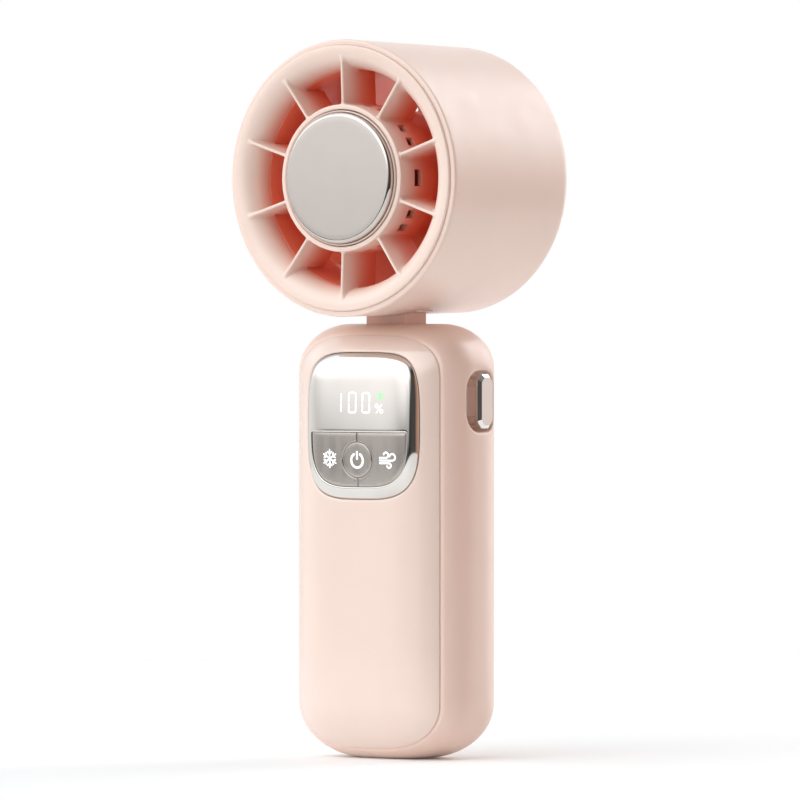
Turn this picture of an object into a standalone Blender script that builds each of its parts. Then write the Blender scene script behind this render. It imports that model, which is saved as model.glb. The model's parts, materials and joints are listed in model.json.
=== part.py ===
"""Handheld cooling fan: a handle, a head that tilts on it, a spinning impeller and three press buttons.

Metres, +Z up. The front faces -Y. The origin is on the ground, midway along the head.
"""

import math

import bmesh
import bpy
from mathutils import Matrix, Vector

MM = 0.001

# Gaps between neighbouring pieces
FIT = 0.25 * MM
SEAM = 0.3 * MM
BUTTON_GAP = 0.2 * MM
RUN = 0.6 * MM
WELD = 0.001 * MM

# Facets
ROUND = 36
HANDLE_ROUND = 36
SMALL_ROUND = 12
END_STEPS = 7

# Handle form: a superellipse section with elliptical ends
HANDLE_HEIGHT = 104.95 * MM
HANDLE_HALF_WIDTH = 24.5 * MM
HANDLE_HALF_DEPTH = 15.1 * MM
HANDLE_POWER = 3.0
HANDLE_END = 13.5 * MM
TOP_HALF_WIDTH = 10.5 * MM
FOOT_HALF_WIDTH = 7.3 * MM
END_HALF_DEPTH = 5.1 * MM
HANDLE_WALL = 1.6 * MM
HANDLE_Y = -1.1 * MM
SPLIT_FROM_FRONT = 4.3 * MM

# Control panel and buttons, with heights below the top of the handle
PANEL_HALF_WIDTH = 16.35 * MM
PANEL_HALF_HEIGHT = 17.65 * MM
PANEL_DROP = 24.55 * MM
PANEL_PROUD = 1.3 * MM
PANEL_WALL = 1.8 * MM
PANEL_RIM = 1.3 * MM
PANEL_FLANGE = 1.0 * MM
FIELD_HALF_WIDTH = 14.1 * MM
FIELD_HALF_HEIGHT = 14.7 * MM
FIELD_DROP = 26.05 * MM
POWER_DROP = 32.7 * MM
POWER_RADIUS = 4.3 * MM
SIDE_BUTTON_X = 9.2 * MM
BUTTON_DISH = 0.15 * MM
BUTTON_THICKNESS = 2.6 * MM
STEM_RADIUS = 1.5 * MM
PRESS_GAP = 0.7 * MM

# Boards inside the handle, set back from its front
FRAME_SETBACK = 7.8 * MM
FRAME_THICKNESS = 1.3 * MM
FRAME_HALF_WIDTH = 17.0 * MM
FRAME_MARGIN = 5.5 * MM
BOARD_THICKNESS = 1.2 * MM
BOARD_HALF_WIDTH = 15.5 * MM
BOARD_TOP_DROP = 11.1 * MM
BOARD_HEIGHT = 34.5 * MM
SWITCH_HALF = 2.3 * MM
SWITCH_BODY = 1.1 * MM
SWITCH_PLUNGER = 0.7 * MM
DISPLAY_HALF_WIDTH = 11.0 * MM
DISPLAY_HEIGHT = 9.5 * MM
DISPLAY_DEPTH = 3.2 * MM
DISPLAY_DROP = 19.1 * MM

# Battery cells and charging socket
CELL_GAP = 0.75 * MM
CELL_LENGTH = 65.0 * MM
CELL_Z = 12.0 * MM
SOCKET_HALF_WIDTH = 4.47 * MM
SOCKET_HALF_DEPTH = 1.63 * MM
SOCKET_WALL = 0.32 * MM
SOCKET_LENGTH = 7.3 * MM
SOCKET_RECESS = 0.4 * MM
CHARGE_BOARD_HALF_WIDTH = 8.0 * MM
CHARGE_BOARD_TOP = 10.8 * MM

# Lanyard bar and its pocket in the right side
BAR_DROP = 18.6 * MM
BAR_Y = 2.55 * MM
BAR_LENGTH = 13.0 * MM
BAR_WIDTH = 6.0 * MM
BAR_THICKNESS = 2.0 * MM
BAR_CORNER = 1.8 * MM
BAR_PROUD = 1.3 * MM
BAR_LEG = 3.0 * MM
POCKET_LENGTH = 14.7 * MM
POCKET_WIDTH = 12.9 * MM
POCKET_CORNER = 5.0 * MM
POCKET_DEPTH = 5.5 * MM
POCKET_FLOOR = 1.3 * MM
POCKET_WALL = 1.5 * MM

# Screws
SCREW_SHANK = 0.8 * MM
SCREW_HEAD = 1.7 * MM
SCREW_HEAD_HEIGHT = 1.1 * MM
BOSS_RADIUS = 2.2 * MM
BOSS_X = 14.0 * MM
BOSS_END_MARGIN = 8.0 * MM

# Neck and tilt hinge
NECK_HALF_WIDTH = 5.75 * MM
NECK_HALF_DEPTH = 4.35 * MM
NECK_GAP = 2.2 * MM
NECK_FLANGE_HALF_WIDTH = 9.8 * MM
NECK_FLANGE_HALF_DEPTH = 4.35 * MM
NECK_FLANGE = 2.1 * MM
NECK_SCREW_X = 8.3 * MM
NECK_SCREW_SKIN = 0.5 * MM
PIN_RADIUS = 1.0 * MM
KNUCKLE_RADIUS = 2.1 * MM
WASHER = 0.5 * MM
EAR_THICKNESS = 2.5 * MM
EAR_HALF_DEPTH = 3.2 * MM
TILT_LIMIT = math.radians(12)

# Head form: the drum tapers a little towards the back
HEAD_LENGTH = 50.8 * MM
DRUM_RADIUS = 33.3 * MM
DRUM_TAPER = 0.9 * MM
DRUM_WALL = 1.3 * MM
DRUM_BACK_ROUND = 2.2 * MM

# Front grille: ring with bell mouth, vanes and hub cup
PLATE_PROUD = 1.6 * MM
RING_SETBACK = 1.5 * MM
SHELL_SETBACK = 2.2 * MM
RING_EDGE = 0.95 * MM
MOUTH_FLARE = 4.5 * MM
MOUTH_DEPTH = 6.0 * MM
THROAT_LENGTH = 0.8 * MM
RING_SPIGOT = 4.2 * MM
THROAT_WALL = 1.3 * MM
VANES = 10
VANE_THICKNESS = 1.1 * MM
VANE_SETBACK = 2.2 * MM
VANE_DEPTH = 13.0 * MM
HUB_WALL = 1.2 * MM
HUB_DEPTH = 14.2 * MM
HUB_FLOOR = 1.3 * MM
HUB_HOLE = 3.5 * MM
WINDOW_DEPTH = 3.0 * MM
WINDOW_FROM_FRONT = 5.8 * MM
WINDOW_WIDTH = 2.2 * MM
CLIP_WINDOW_WIDTH = 4.0 * MM
WINDOW_SPREAD = math.radians(6.5)

# Cold plate and the pieces behind it
PLATE_RADIUS = 15.2 * MM
PLATE_THICKNESS = 2.5 * MM
PLATE_EDGE = 0.5 * MM
COLLAR_WIDTH = 0.8 * MM
COLLAR_LENGTH = 3.0 * MM
COLLAR_SETBACK = 1.35 * MM
PELTIER_HALF = 10.0 * MM
PELTIER_THICKNESS = 3.4 * MM
SINK_BASE = 2.0 * MM
SINK_FIN = 0.8 * MM
SINK_FIN_HEIGHT = 4.4 * MM
SINK_PITCH = 3.0 * MM
SINK_FINS = 9

# Air duct
DUCT_WALL = 1.0 * MM
DUCT_FLANGE = 2.2 * MM

# Motor and impeller, with lengths back from the hub floor
SHAFT_RADIUS = 1.5 * MM
STATOR_BASE_RADIUS = 10.5 * MM
STATOR_BASE = 1.2 * MM
STATOR_TEETH = 9
STATOR_LENGTH = 8.2 * MM
BEARING_RADIUS = 3.4 * MM
CAN_RADIUS = 14.5 * MM
CAN_WALL = 1.3 * MM
CAN_LENGTH = 11.3 * MM
AIR_GAP = 0.8 * MM
MOTOR_SCREW_RING = 7.5 * MM
IMPELLER_WALL = 1.85 * MM
IMPELLER_CAP = 3.5 * MM
BLADES = 9
BLADE_LENGTH = 13.0 * MM
BLADE_SWEEP = math.radians(40)
BLADE_THICKNESS = 1.2 * MM
BLADE_ROOT_SINK = 0.5 * MM

# Rear grille
GRILLE_THICKNESS = 2.3 * MM
GRILLE_RECESS = 0.4 * MM
GRILLE_RIBS = 12
GRILLE_RIB = 1.3 * MM
GRILLE_RINGS = 3
GRILLE_CAP_RADIUS = 8.0 * MM
GRILLE_SCREWS = 3
GRILLE_SCREW_MARGIN = 2.1 * MM

# Places that follow from the sizes above
TOP_NARROWING = HANDLE_HALF_WIDTH - TOP_HALF_WIDTH
FOOT_NARROWING = HANDLE_HALF_WIDTH - FOOT_HALF_WIDTH
END_THINNING = HANDLE_HALF_DEPTH - END_HALF_DEPTH
HEAD_FRONT = -HEAD_LENGTH / 2
HEAD_BACK = HEAD_LENGTH / 2
AXIS_Z = HANDLE_HEIGHT + NECK_GAP + DRUM_RADIUS - DRUM_TAPER / 2
SHELL_FRONT = HEAD_FRONT + SHELL_SETBACK
RING_FRONT = HEAD_FRONT + RING_SETBACK
HUB_FRONT = HEAD_FRONT + PLATE_PROUD
HUB_BACK = HUB_FRONT + HUB_DEPTH
SHELL_BORE_FRONT = DRUM_RADIUS - DRUM_WALL
SHELL_BORE_BACK = DRUM_RADIUS - DRUM_TAPER - DRUM_WALL
RING_RADIUS = SHELL_BORE_FRONT - FIT
CREST_RADIUS = RING_RADIUS - RING_EDGE
THROAT_RADIUS = CREST_RADIUS - MOUTH_FLARE
RING_BACK = RING_FRONT + MOUTH_DEPTH + THROAT_LENGTH
DUCT_OUTER = THROAT_RADIUS + DUCT_WALL
COLLAR_INNER = PLATE_RADIUS + FIT
COLLAR_OUTER = COLLAR_INNER + COLLAR_WIDTH
HUB_BORE = COLLAR_OUTER + FIT
HUB_RADIUS = HUB_BORE + HUB_WALL
IMPELLER_BORE = CAN_RADIUS + FIT
IMPELLER_HUB = IMPELLER_BORE + IMPELLER_WALL
BLADE_TIP = THROAT_RADIUS - RUN
PIN_Z = AXIS_Z - DUCT_OUTER - FIT - KNUCKLE_RADIUS
GRILLE_BACK = HEAD_BACK - GRILLE_RECESS
GRILLE_FRONT = GRILLE_BACK - GRILLE_THICKNESS
GRILLE_RADIUS = SHELL_BORE_BACK - FIT
PANEL_Z = HANDLE_HEIGHT - PANEL_DROP
POWER_Z = HANDLE_HEIGHT - POWER_DROP
BAR_Z = HANDLE_HEIGHT - BAR_DROP
FRAME_FRONT = FRAME_SETBACK - HANDLE_HALF_DEPTH
BOARD_BACK = FRAME_FRONT - FIT
BOARD_FRONT = BOARD_BACK - BOARD_THICKNESS
SWITCH_FRONT = BOARD_FRONT - FIT - SWITCH_BODY
PLUNGER_FRONT = SWITCH_FRONT - SWITCH_PLUNGER
CELL_BACK = HANDLE_HALF_DEPTH - HANDLE_WALL - CELL_GAP
CELL_RADIUS = (CELL_BACK - CELL_GAP - FRAME_FRONT - FRAME_THICKNESS) / 2
FAR = 100 * MM

HEAD_PIVOT = Vector((0, HANDLE_Y, PIN_Z))
SPIN_PIVOT = Vector((0, 0, AXIS_Z))


# Flat outlines

def circle(u, v, radius, count=SMALL_ROUND):
    angles = [2 * math.pi * (i + 0.5) / count for i in range(count)]
    return [(u + radius * math.cos(a), v + radius * math.sin(a)) for a in angles]


def superellipse(half_width, half_height, power, count):
    points = []
    for i in range(count):
        c = math.cos(2 * math.pi * i / count)
        s = math.sin(2 * math.pi * i / count)
        u = math.copysign(abs(c) ** (2 / power), c)
        v = math.copysign(abs(s) ** (2 / power), s)
        points.append((half_width * u, half_height * v))
    return points


def squircle(grow):
    """Outline of the control panel, rounder below than above, as (x, z) points."""
    width = PANEL_HALF_WIDTH + grow
    height = PANEL_HALF_HEIGHT + grow
    upper = [p for p in superellipse(width, height, 4.3, 36) if p[1] >= 0]
    lower = [p for p in superellipse(width, height, 3.6, 36) if p[1] < 0]
    return [(x, PANEL_Z + z) for x, z in upper + lower]


def button_field(inset):
    """Outline of the button opening: the lower part of a squircle below a straight top edge."""
    width = FIELD_HALF_WIDTH - inset
    height = FIELD_HALF_HEIGHT - inset
    top = HANDLE_HEIGHT - FIELD_DROP - inset
    lower = [p for p in superellipse(width, height, 3.6, 36) if p[1] < top - PANEL_Z - 0.5 * MM]
    side = [p for p in lower if p[0] < 0]
    low_run = [(x, PANEL_Z + z) for x, z in side]
    return [(-width, top)] + low_run + [(-x, z) for x, z in reversed(low_run)] + [(width, top)]


def rounded_box(half_u, half_v, corner, u=0.0, v=0.0, steps=4):
    points = []
    for quarter in range(4):
        cu = (half_u - corner) * (1 if quarter in (0, 3) else -1)
        cv = (half_v - corner) * (1 if quarter in (0, 1) else -1)
        for i in range(steps + 1):
            a = math.pi / 2 * (quarter + i / steps)
            points.append((u + cu + corner * math.cos(a), v + cv + corner * math.sin(a)))
    return points


# Solids added to a mesh under construction

def add_prism(bm, outline, axis, low, high):
    """Sweeps a flat outline along an axis: (y, z) points for x, (x, z) for y, (x, y) for z."""
    place = {
        "x": lambda u, v, w: (w, u, v),
        "y": lambda u, v, w: (u, w, v),
        "z": lambda u, v, w: (u, v, w),
    }[axis]
    first = [bm.verts.new(place(u, v, low)) for u, v in outline]
    last = [bm.verts.new(place(u, v, high)) for u, v in outline]
    bm.faces.new(first)
    bm.faces.new(last)
    for i in range(len(outline)):
        bm.faces.new((first[i - 1], first[i], last[i], last[i - 1]))
    return first + last


def add_box(bm, x_range, y_range, z_range):
    (x0, x1), (y0, y1), (z0, z1) = x_range, y_range, z_range
    return add_prism(bm, [(x0, y0), (x1, y0), (x1, y1), (x0, y1)], "z", z0, z1)


def add_turned(bm, profile, closed=True):
    """Turns an outline of (radius, y) points about the head axis."""
    start = [bm.verts.new((radius, y, AXIS_Z)) for radius, y in profile]
    pairs = list(zip(start, start[1:]))
    if closed:
        pairs.append((start[-1], start[0]))
    edges = [bm.edges.new(pair) for pair in pairs]
    bmesh.ops.spin(
        bm,
        geom=start + edges,
        cent=(0, 0, AXIS_Z),
        axis=(0, 1, 0),
        angle=2 * math.pi,
        steps=ROUND,
        use_merge=True,
    )


def swing(bm, verts, angle):
    """Carries a piece built to the right of the head axis round to an angle above it."""
    turn = Matrix.Rotation(-angle, 3, "Y")
    bmesh.ops.rotate(bm, verts=verts, cent=(0, 0, AXIS_Z), matrix=turn)


def add_handle_form(bm, grow):
    """The outer form of the handle, grown or shrunk all round."""
    rounding = HANDLE_END + grow
    ends = []
    for step in range(END_STEPS + 1):
        angle = math.pi / 2 * step / END_STEPS
        ends.append((rounding * (1 - math.cos(angle)), 1 - math.sin(angle)))
    levels = [(rise - grow, pull, FOOT_NARROWING) for rise, pull in ends]
    levels += [(HANDLE_HEIGHT + grow - rise, pull, TOP_NARROWING) for rise, pull in reversed(ends)]
    rings = []
    for z, pull, narrowing in levels:
        width = HANDLE_HALF_WIDTH + grow - (narrowing + grow) * pull
        depth = HANDLE_HALF_DEPTH + grow - (END_THINNING + grow) * pull
        section = superellipse(width, depth, HANDLE_POWER, HANDLE_ROUND)
        rings.append([bm.verts.new((x, HANDLE_Y + y, z)) for x, y in section])
    bm.faces.new(rings[0])
    bm.faces.new(rings[-1])
    for lower, upper in zip(rings, rings[1:]):
        for i in range(HANDLE_ROUND):
            bm.faces.new((lower[i - 1], lower[i], upper[i], upper[i - 1]))


# Objects, materials and cuts

def material(name, color, roughness, metallic=0.0):
    made = bpy.data.materials.new(name)
    made.use_nodes = True
    shader = made.node_tree.nodes["Principled BSDF"]
    shader.inputs["Base Color"].default_value = (*color, 1.0)
    shader.inputs["Roughness"].default_value = roughness
    shader.inputs["Metallic"].default_value = metallic
    return made


def new_object(name, bm, origin):
    bmesh.ops.remove_doubles(bm, verts=bm.verts, dist=WELD)
    bmesh.ops.recalc_face_normals(bm, faces=bm.faces)
    bmesh.ops.translate(bm, verts=bm.verts, vec=-origin)
    mesh = bpy.data.meshes.new(name)
    bm.to_mesh(mesh)
    bm.free()
    mesh.shade_smooth()
    mesh.set_sharp_from_angle(angle=math.radians(35))
    made = bpy.data.objects.new(name, mesh)
    made.location = origin
    bpy.context.scene.collection.objects.link(made)
    return made


def piece(name, bm, surface, origin=Vector()):
    """A sub-part: its own object, with the origin on its joint axis where it moves."""
    made = new_object(name, bm, origin)
    made.data.materials.append(surface)
    return made


def tool(name, bm):
    """A hidden body that only cuts or adds to others."""
    made = new_object(name, bm, Vector())
    made.hide_render = True
    made.display_type = "WIRE"
    return made


def combine(target, operation, other):
    step = target.modifiers.new(other.name, "BOOLEAN")
    step.operation = operation
    step.solver = "EXACT"
    step.object = other


def handle_form_tool(name, grow):
    bm = bmesh.new()
    add_handle_form(bm, grow)
    return tool(name, bm)


def prism_tool(name, outline, axis, low, high):
    bm = bmesh.new()
    add_prism(bm, outline, axis, low, high)
    return tool(name, bm)


def in_handle(y):
    """A depth measured from the handle's middle plane."""
    return HANDLE_Y + y


# Handle shells

def boss_places():
    heights = (BOSS_END_MARGIN, HANDLE_HEIGHT - BOSS_END_MARGIN)
    return [(side * BOSS_X, z) for z in heights for side in (-1, 1)]


def build_handle_shells(surfaces):
    cavity = handle_form_tool("handle_cavity", -HANDLE_WALL)
    split = in_handle(-HANDLE_HALF_DEPTH + SPLIT_FROM_FRONT)

    bm = bmesh.new()
    add_handle_form(bm, 0)
    front = piece("front_panel", bm, surfaces["gloss_pink"])
    bm = bmesh.new()
    add_box(bm, (-FAR, FAR), (-FAR, split - SEAM / 2), (-FAR, 2 * FAR))
    front_half = tool("front_half", bm)
    window = prism_tool("panel_window", squircle(FIT), "y", -FAR, panel_back() + FIT)
    combine(front, "DIFFERENCE", cavity)
    combine(front, "INTERSECT", front_half)
    combine(front, "DIFFERENCE", window)

    bm = bmesh.new()
    add_handle_form(bm, 0)
    rear = piece("rear_shell", bm, surfaces["satin_pink"])
    bm = bmesh.new()
    add_box(bm, (-FAR, FAR), (split + SEAM / 2, FAR), (-FAR, 2 * FAR))
    rear_half = tool("rear_half", bm)
    combine(rear, "DIFFERENCE", cavity)
    combine(rear, "INTERSECT", rear_half)
    combine(rear, "DIFFERENCE", window)
    combine(rear, "UNION", build_rear_bosses())
    combine(rear, "DIFFERENCE", build_rear_openings())
    combine(rear, "DIFFERENCE", build_rear_holes())


def pocket_floor_x():
    return HANDLE_HALF_WIDTH - POCKET_DEPTH


def build_rear_bosses():
    """Four screw bosses and the block that holds the lanyard pocket, kept inside the wall."""
    bm = bmesh.new()
    boss_front = in_handle(FRAME_FRONT + FRAME_THICKNESS + FIT)
    for x, z in boss_places():
        add_prism(bm, circle(x, z, BOSS_RADIUS), "y", boss_front, FAR)
    block = rounded_box(
        POCKET_WIDTH / 2 + POCKET_WALL,
        POCKET_LENGTH / 2 + POCKET_WALL,
        POCKET_CORNER,
        in_handle(BAR_Y),
        BAR_Z,
    )
    add_prism(bm, block, "x", pocket_floor_x() - POCKET_FLOOR, FAR)
    bosses = tool("rear_bosses", bm)
    combine(bosses, "INTERSECT", handle_form_tool("wall_middle", -HANDLE_WALL / 2))
    return bosses


def build_rear_openings():
    bm = bmesh.new()
    pocket = rounded_box(POCKET_WIDTH / 2, POCKET_LENGTH / 2, POCKET_CORNER, in_handle(BAR_Y), BAR_Z)
    add_prism(bm, pocket, "x", pocket_floor_x(), FAR)
    neck_x = NECK_HALF_WIDTH + FIT
    neck_y = NECK_HALF_DEPTH + FIT
    add_box(
        bm,
        (-neck_x, neck_x),
        (in_handle(-neck_y), in_handle(neck_y)),
        (HANDLE_HEIGHT - 2 * HANDLE_WALL, HANDLE_HEIGHT + HANDLE_WALL),
    )
    socket_depth = SOCKET_HALF_DEPTH + FIT
    socket = rounded_box(SOCKET_HALF_WIDTH + FIT, socket_depth, socket_depth, 0, HANDLE_Y)
    add_prism(bm, socket, "z", -HANDLE_WALL, 2 * HANDLE_WALL)
    hole_back = in_handle(HANDLE_HALF_DEPTH / 3)
    for x, z in boss_places():
        add_prism(bm, circle(x, z, SCREW_SHANK + FIT), "y", in_handle(2 * FRAME_FRONT), hole_back)
    return tool("rear_openings", bm)


def bar_leg_range(side, grow):
    inner = BAR_LENGTH / 2 - BAR_LEG - grow
    outer = BAR_LENGTH / 2 + grow
    return tuple(sorted((BAR_Z + side * inner, BAR_Z + side * outer)))


def build_rear_holes():
    """Sockets for the legs of the lanyard bar and for the screws that hold the neck."""
    bm = bmesh.new()
    floor = pocket_floor_x()
    half = BAR_WIDTH / 2 + FIT
    for side in (-1, 1):
        add_box(
            bm,
            (floor - 2 * POCKET_FLOOR, floor + FIT),
            (in_handle(BAR_Y - half), in_handle(BAR_Y + half)),
            bar_leg_range(side, FIT),
        )
        hole = circle(side * NECK_SCREW_X, HANDLE_Y, SCREW_SHANK + FIT)
        bottom = HANDLE_HEIGHT - 2 * HANDLE_WALL
        add_prism(bm, hole, "z", bottom, HANDLE_HEIGHT - NECK_SCREW_SKIN)
    return tool("rear_holes", bm)


def build_lanyard_bar(surfaces):
    """A staple: two legs through the pocket floor and a bar with rounded corners across them."""
    foot = pocket_floor_x() - POCKET_FLOOR
    outer = HANDLE_HALF_WIDTH + BAR_PROUD
    inner = outer - BAR_THICKNESS
    half = BAR_LENGTH / 2
    leg = half - BAR_LEG
    staple = [
        (foot, BAR_Z - half),
        (outer, BAR_Z - half),
        (outer, BAR_Z + half),
        (foot, BAR_Z + half),
        (foot, BAR_Z + leg),
        (inner, BAR_Z + leg),
        (inner, BAR_Z - leg),
        (foot, BAR_Z - leg),
    ]
    bm = bmesh.new()
    add_prism(bm, staple, "y", in_handle(BAR_Y - BAR_WIDTH), in_handle(BAR_Y + BAR_WIDTH))
    bar = piece("lanyard_bar", bm, surfaces["chrome"])
    pill = rounded_box(BAR_WIDTH / 2, half, BAR_CORNER, in_handle(BAR_Y), BAR_Z)
    combine(bar, "INTERSECT", prism_tool("bar_pill", pill, "x", 0, FAR))


# Control panel and buttons

def panel_back():
    return in_handle(SWITCH_FRONT)


def build_control_panel(surfaces):
    back = panel_back()
    bm = bmesh.new()
    add_prism(bm, squircle(0), "y", -FAR, back - FIT)
    panel = piece("control_panel", bm, surfaces["mirror"])
    flange = prism_tool("panel_flange", squircle(PANEL_FLANGE), "y", -FAR, back)
    combine(flange, "INTERSECT", handle_form_tool("flange_limit", -HANDLE_WALL - FIT))
    hollow = prism_tool("panel_hollow", squircle(-PANEL_RIM), "y", -FAR, 0)
    combine(hollow, "INTERSECT", handle_form_tool("hollow_limit", PANEL_PROUD - PANEL_WALL))
    opening = prism_tool("button_opening", button_field(0), "y", -FAR, 0)
    combine(panel, "INTERSECT", handle_form_tool("panel_limit", PANEL_PROUD))
    combine(panel, "UNION", flange)
    combine(panel, "DIFFERENCE", hollow)
    combine(panel, "DIFFERENCE", opening)


def build_buttons(surfaces):
    front = in_handle(-HANDLE_HALF_DEPTH - PANEL_PROUD)
    cap_back = front + BUTTON_DISH + BUTTON_THICKNESS
    stem_back = in_handle(PLUNGER_FRONT) - PRESS_GAP
    face = handle_form_tool("button_limit", PANEL_PROUD - BUTTON_DISH)
    power_hole = circle(0, POWER_Z, POWER_RADIUS + BUTTON_GAP, 24)
    clearance = prism_tool("power_clearance", power_hole, "y", -FAR, 0)
    field = button_field(BUTTON_GAP)
    outlines = {
        "cool": [(min(x, -BUTTON_GAP / 2), z) for x, z in field if x < 0]
        + [(-BUTTON_GAP / 2, field[len(field) // 2][1]), (-BUTTON_GAP / 2, field[0][1])],
        "power": circle(0, POWER_Z, POWER_RADIUS, 24),
    }
    outlines["wind"] = [(-x, z) for x, z in outlines["cool"]]
    places = {"cool": -SIDE_BUTTON_X, "power": 0.0, "wind": SIDE_BUTTON_X}
    for name, outline in outlines.items():
        x = places[name]
        bm = bmesh.new()
        add_prism(bm, outline, "y", -FAR, cap_back)
        button = piece(f"{name}_button", bm, surfaces["button_metal"], Vector((x, front, POWER_Z)))
        combine(button, "INTERSECT", face)
        if name != "power":
            combine(button, "DIFFERENCE", clearance)
        stem = circle(x, POWER_Z, STEM_RADIUS)
        stem_tool = prism_tool(f"{name}_stem", stem, "y", cap_back - BUTTON_THICKNESS / 2, stem_back)
        combine(button, "UNION", stem_tool)


# Boards, cells and socket inside the handle

def build_electronics(surfaces):
    board_top = HANDLE_HEIGHT - BOARD_TOP_DROP
    bm = bmesh.new()
    add_box(
        bm,
        (-BOARD_HALF_WIDTH, BOARD_HALF_WIDTH),
        (in_handle(BOARD_FRONT), in_handle(BOARD_BACK)),
        (board_top - BOARD_HEIGHT, board_top),
    )
    piece("main_board", bm, surfaces["board_green"])

    display_z = HANDLE_HEIGHT - DISPLAY_DROP
    display_back = BOARD_FRONT - FIT
    bm = bmesh.new()
    add_box(
        bm,
        (-DISPLAY_HALF_WIDTH, DISPLAY_HALF_WIDTH),
        (in_handle(display_back - DISPLAY_DEPTH), in_handle(display_back)),
        (display_z - DISPLAY_HEIGHT / 2, display_z + DISPLAY_HEIGHT / 2),
    )
    piece("display_module", bm, surfaces["black_plastic"])

    for name, x in (("cool", -SIDE_BUTTON_X), ("power", 0.0), ("wind", SIDE_BUTTON_X)):
        bm = bmesh.new()
        add_box(
            bm,
            (x - SWITCH_HALF, x + SWITCH_HALF),
            (in_handle(SWITCH_FRONT), in_handle(BOARD_FRONT - FIT)),
            (POWER_Z - SWITCH_HALF, POWER_Z + SWITCH_HALF),
        )
        switch = piece(f"{name}_switch", bm, surfaces["black_plastic"])
        plunger = circle(x, POWER_Z, SWITCH_HALF / 2)
        middle = in_handle(SWITCH_FRONT + SWITCH_BODY / 2)
        plunger_tool = prism_tool(f"{name}_plunger", plunger, "y", in_handle(PLUNGER_FRONT), middle)
        combine(switch, "UNION", plunger_tool)


def build_inner_frame(surfaces):
    half_height = HANDLE_HEIGHT / 2 - FRAME_MARGIN
    outline = rounded_box(FRAME_HALF_WIDTH, half_height, 5 * MM, 0, HANDLE_HEIGHT / 2)
    front = in_handle(FRAME_FRONT)
    bm = bmesh.new()
    add_prism(bm, outline, "y", front, front + FRAME_THICKNESS)
    frame = piece("inner_frame", bm, surfaces["white_plastic"])
    bm = bmesh.new()
    for x, z in boss_places():
        hole = circle(x, z, SCREW_SHANK + FIT)
        add_prism(bm, hole, "y", front - FRAME_THICKNESS, front + 2 * FRAME_THICKNESS)
    combine(frame, "DIFFERENCE", tool("frame_holes", bm))
    for number, (x, z) in enumerate(boss_places(), 1):
        add_screw(f"frame_screw_{number}", surfaces, (x, z), "y", front - FIT, 6 * MM)


def add_screw(name, surfaces, place, axis, seat, length, origin=Vector()):
    """A pan-head screw: its head ends at the seat and its shank runs on from there."""
    u, v = place
    head_end = seat - math.copysign(SCREW_HEAD_HEIGHT, length)
    bm = bmesh.new()
    add_prism(bm, circle(u, v, SCREW_HEAD), axis, min(head_end, seat), max(head_end, seat))
    screw = piece(name, bm, surfaces["steel"], origin)
    inside = seat - math.copysign(SCREW_HEAD_HEIGHT / 2, length)
    ends = sorted((inside, seat + length))
    shank = prism_tool(f"{name}_shank", circle(u, v, SCREW_SHANK), axis, ends[0], ends[1])
    combine(screw, "UNION", shank)


def build_battery(surfaces):
    for name, side in (("left", -1), ("right", 1)):
        bm = bmesh.new()
        x = side * (CELL_RADIUS + FIT)
        cell = circle(x, in_handle(CELL_BACK - CELL_RADIUS), CELL_RADIUS, 24)
        add_prism(bm, cell, "z", CELL_Z, CELL_Z + CELL_LENGTH)
        piece(f"battery_cell_{name}", bm, surfaces["cell_wrap"])


def build_charging(surfaces):
    top = SOCKET_RECESS + SOCKET_LENGTH
    outer = rounded_box(SOCKET_HALF_WIDTH, SOCKET_HALF_DEPTH, SOCKET_HALF_DEPTH, 0, HANDLE_Y)
    bm = bmesh.new()
    add_prism(bm, outer, "z", SOCKET_RECESS, top)
    socket = piece("usb_socket", bm, surfaces["steel"])
    depth = SOCKET_HALF_DEPTH - SOCKET_WALL
    mouth = rounded_box(SOCKET_HALF_WIDTH - SOCKET_WALL, depth, depth, 0, HANDLE_Y)
    combine(socket, "DIFFERENCE", prism_tool("socket_mouth", mouth, "z", -FAR, top - 1 * MM))
    tongue = rounded_box(SOCKET_HALF_WIDTH * 0.75, 0.35 * MM, 0.3 * MM, 0, HANDLE_Y)
    tongue_low = SOCKET_RECESS + 0.8 * MM
    combine(socket, "UNION", prism_tool("socket_tongue", tongue, "z", tongue_low, top - 0.5 * MM))

    front = in_handle(SOCKET_HALF_DEPTH + FIT)
    bm = bmesh.new()
    add_box(
        bm,
        (-CHARGE_BOARD_HALF_WIDTH, CHARGE_BOARD_HALF_WIDTH),
        (front, front + 1 * MM),
        (HANDLE_WALL + 1 * MM, CHARGE_BOARD_TOP),
    )
    piece("charge_board", bm, surfaces["board_green"])


# Neck and hinge

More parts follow.
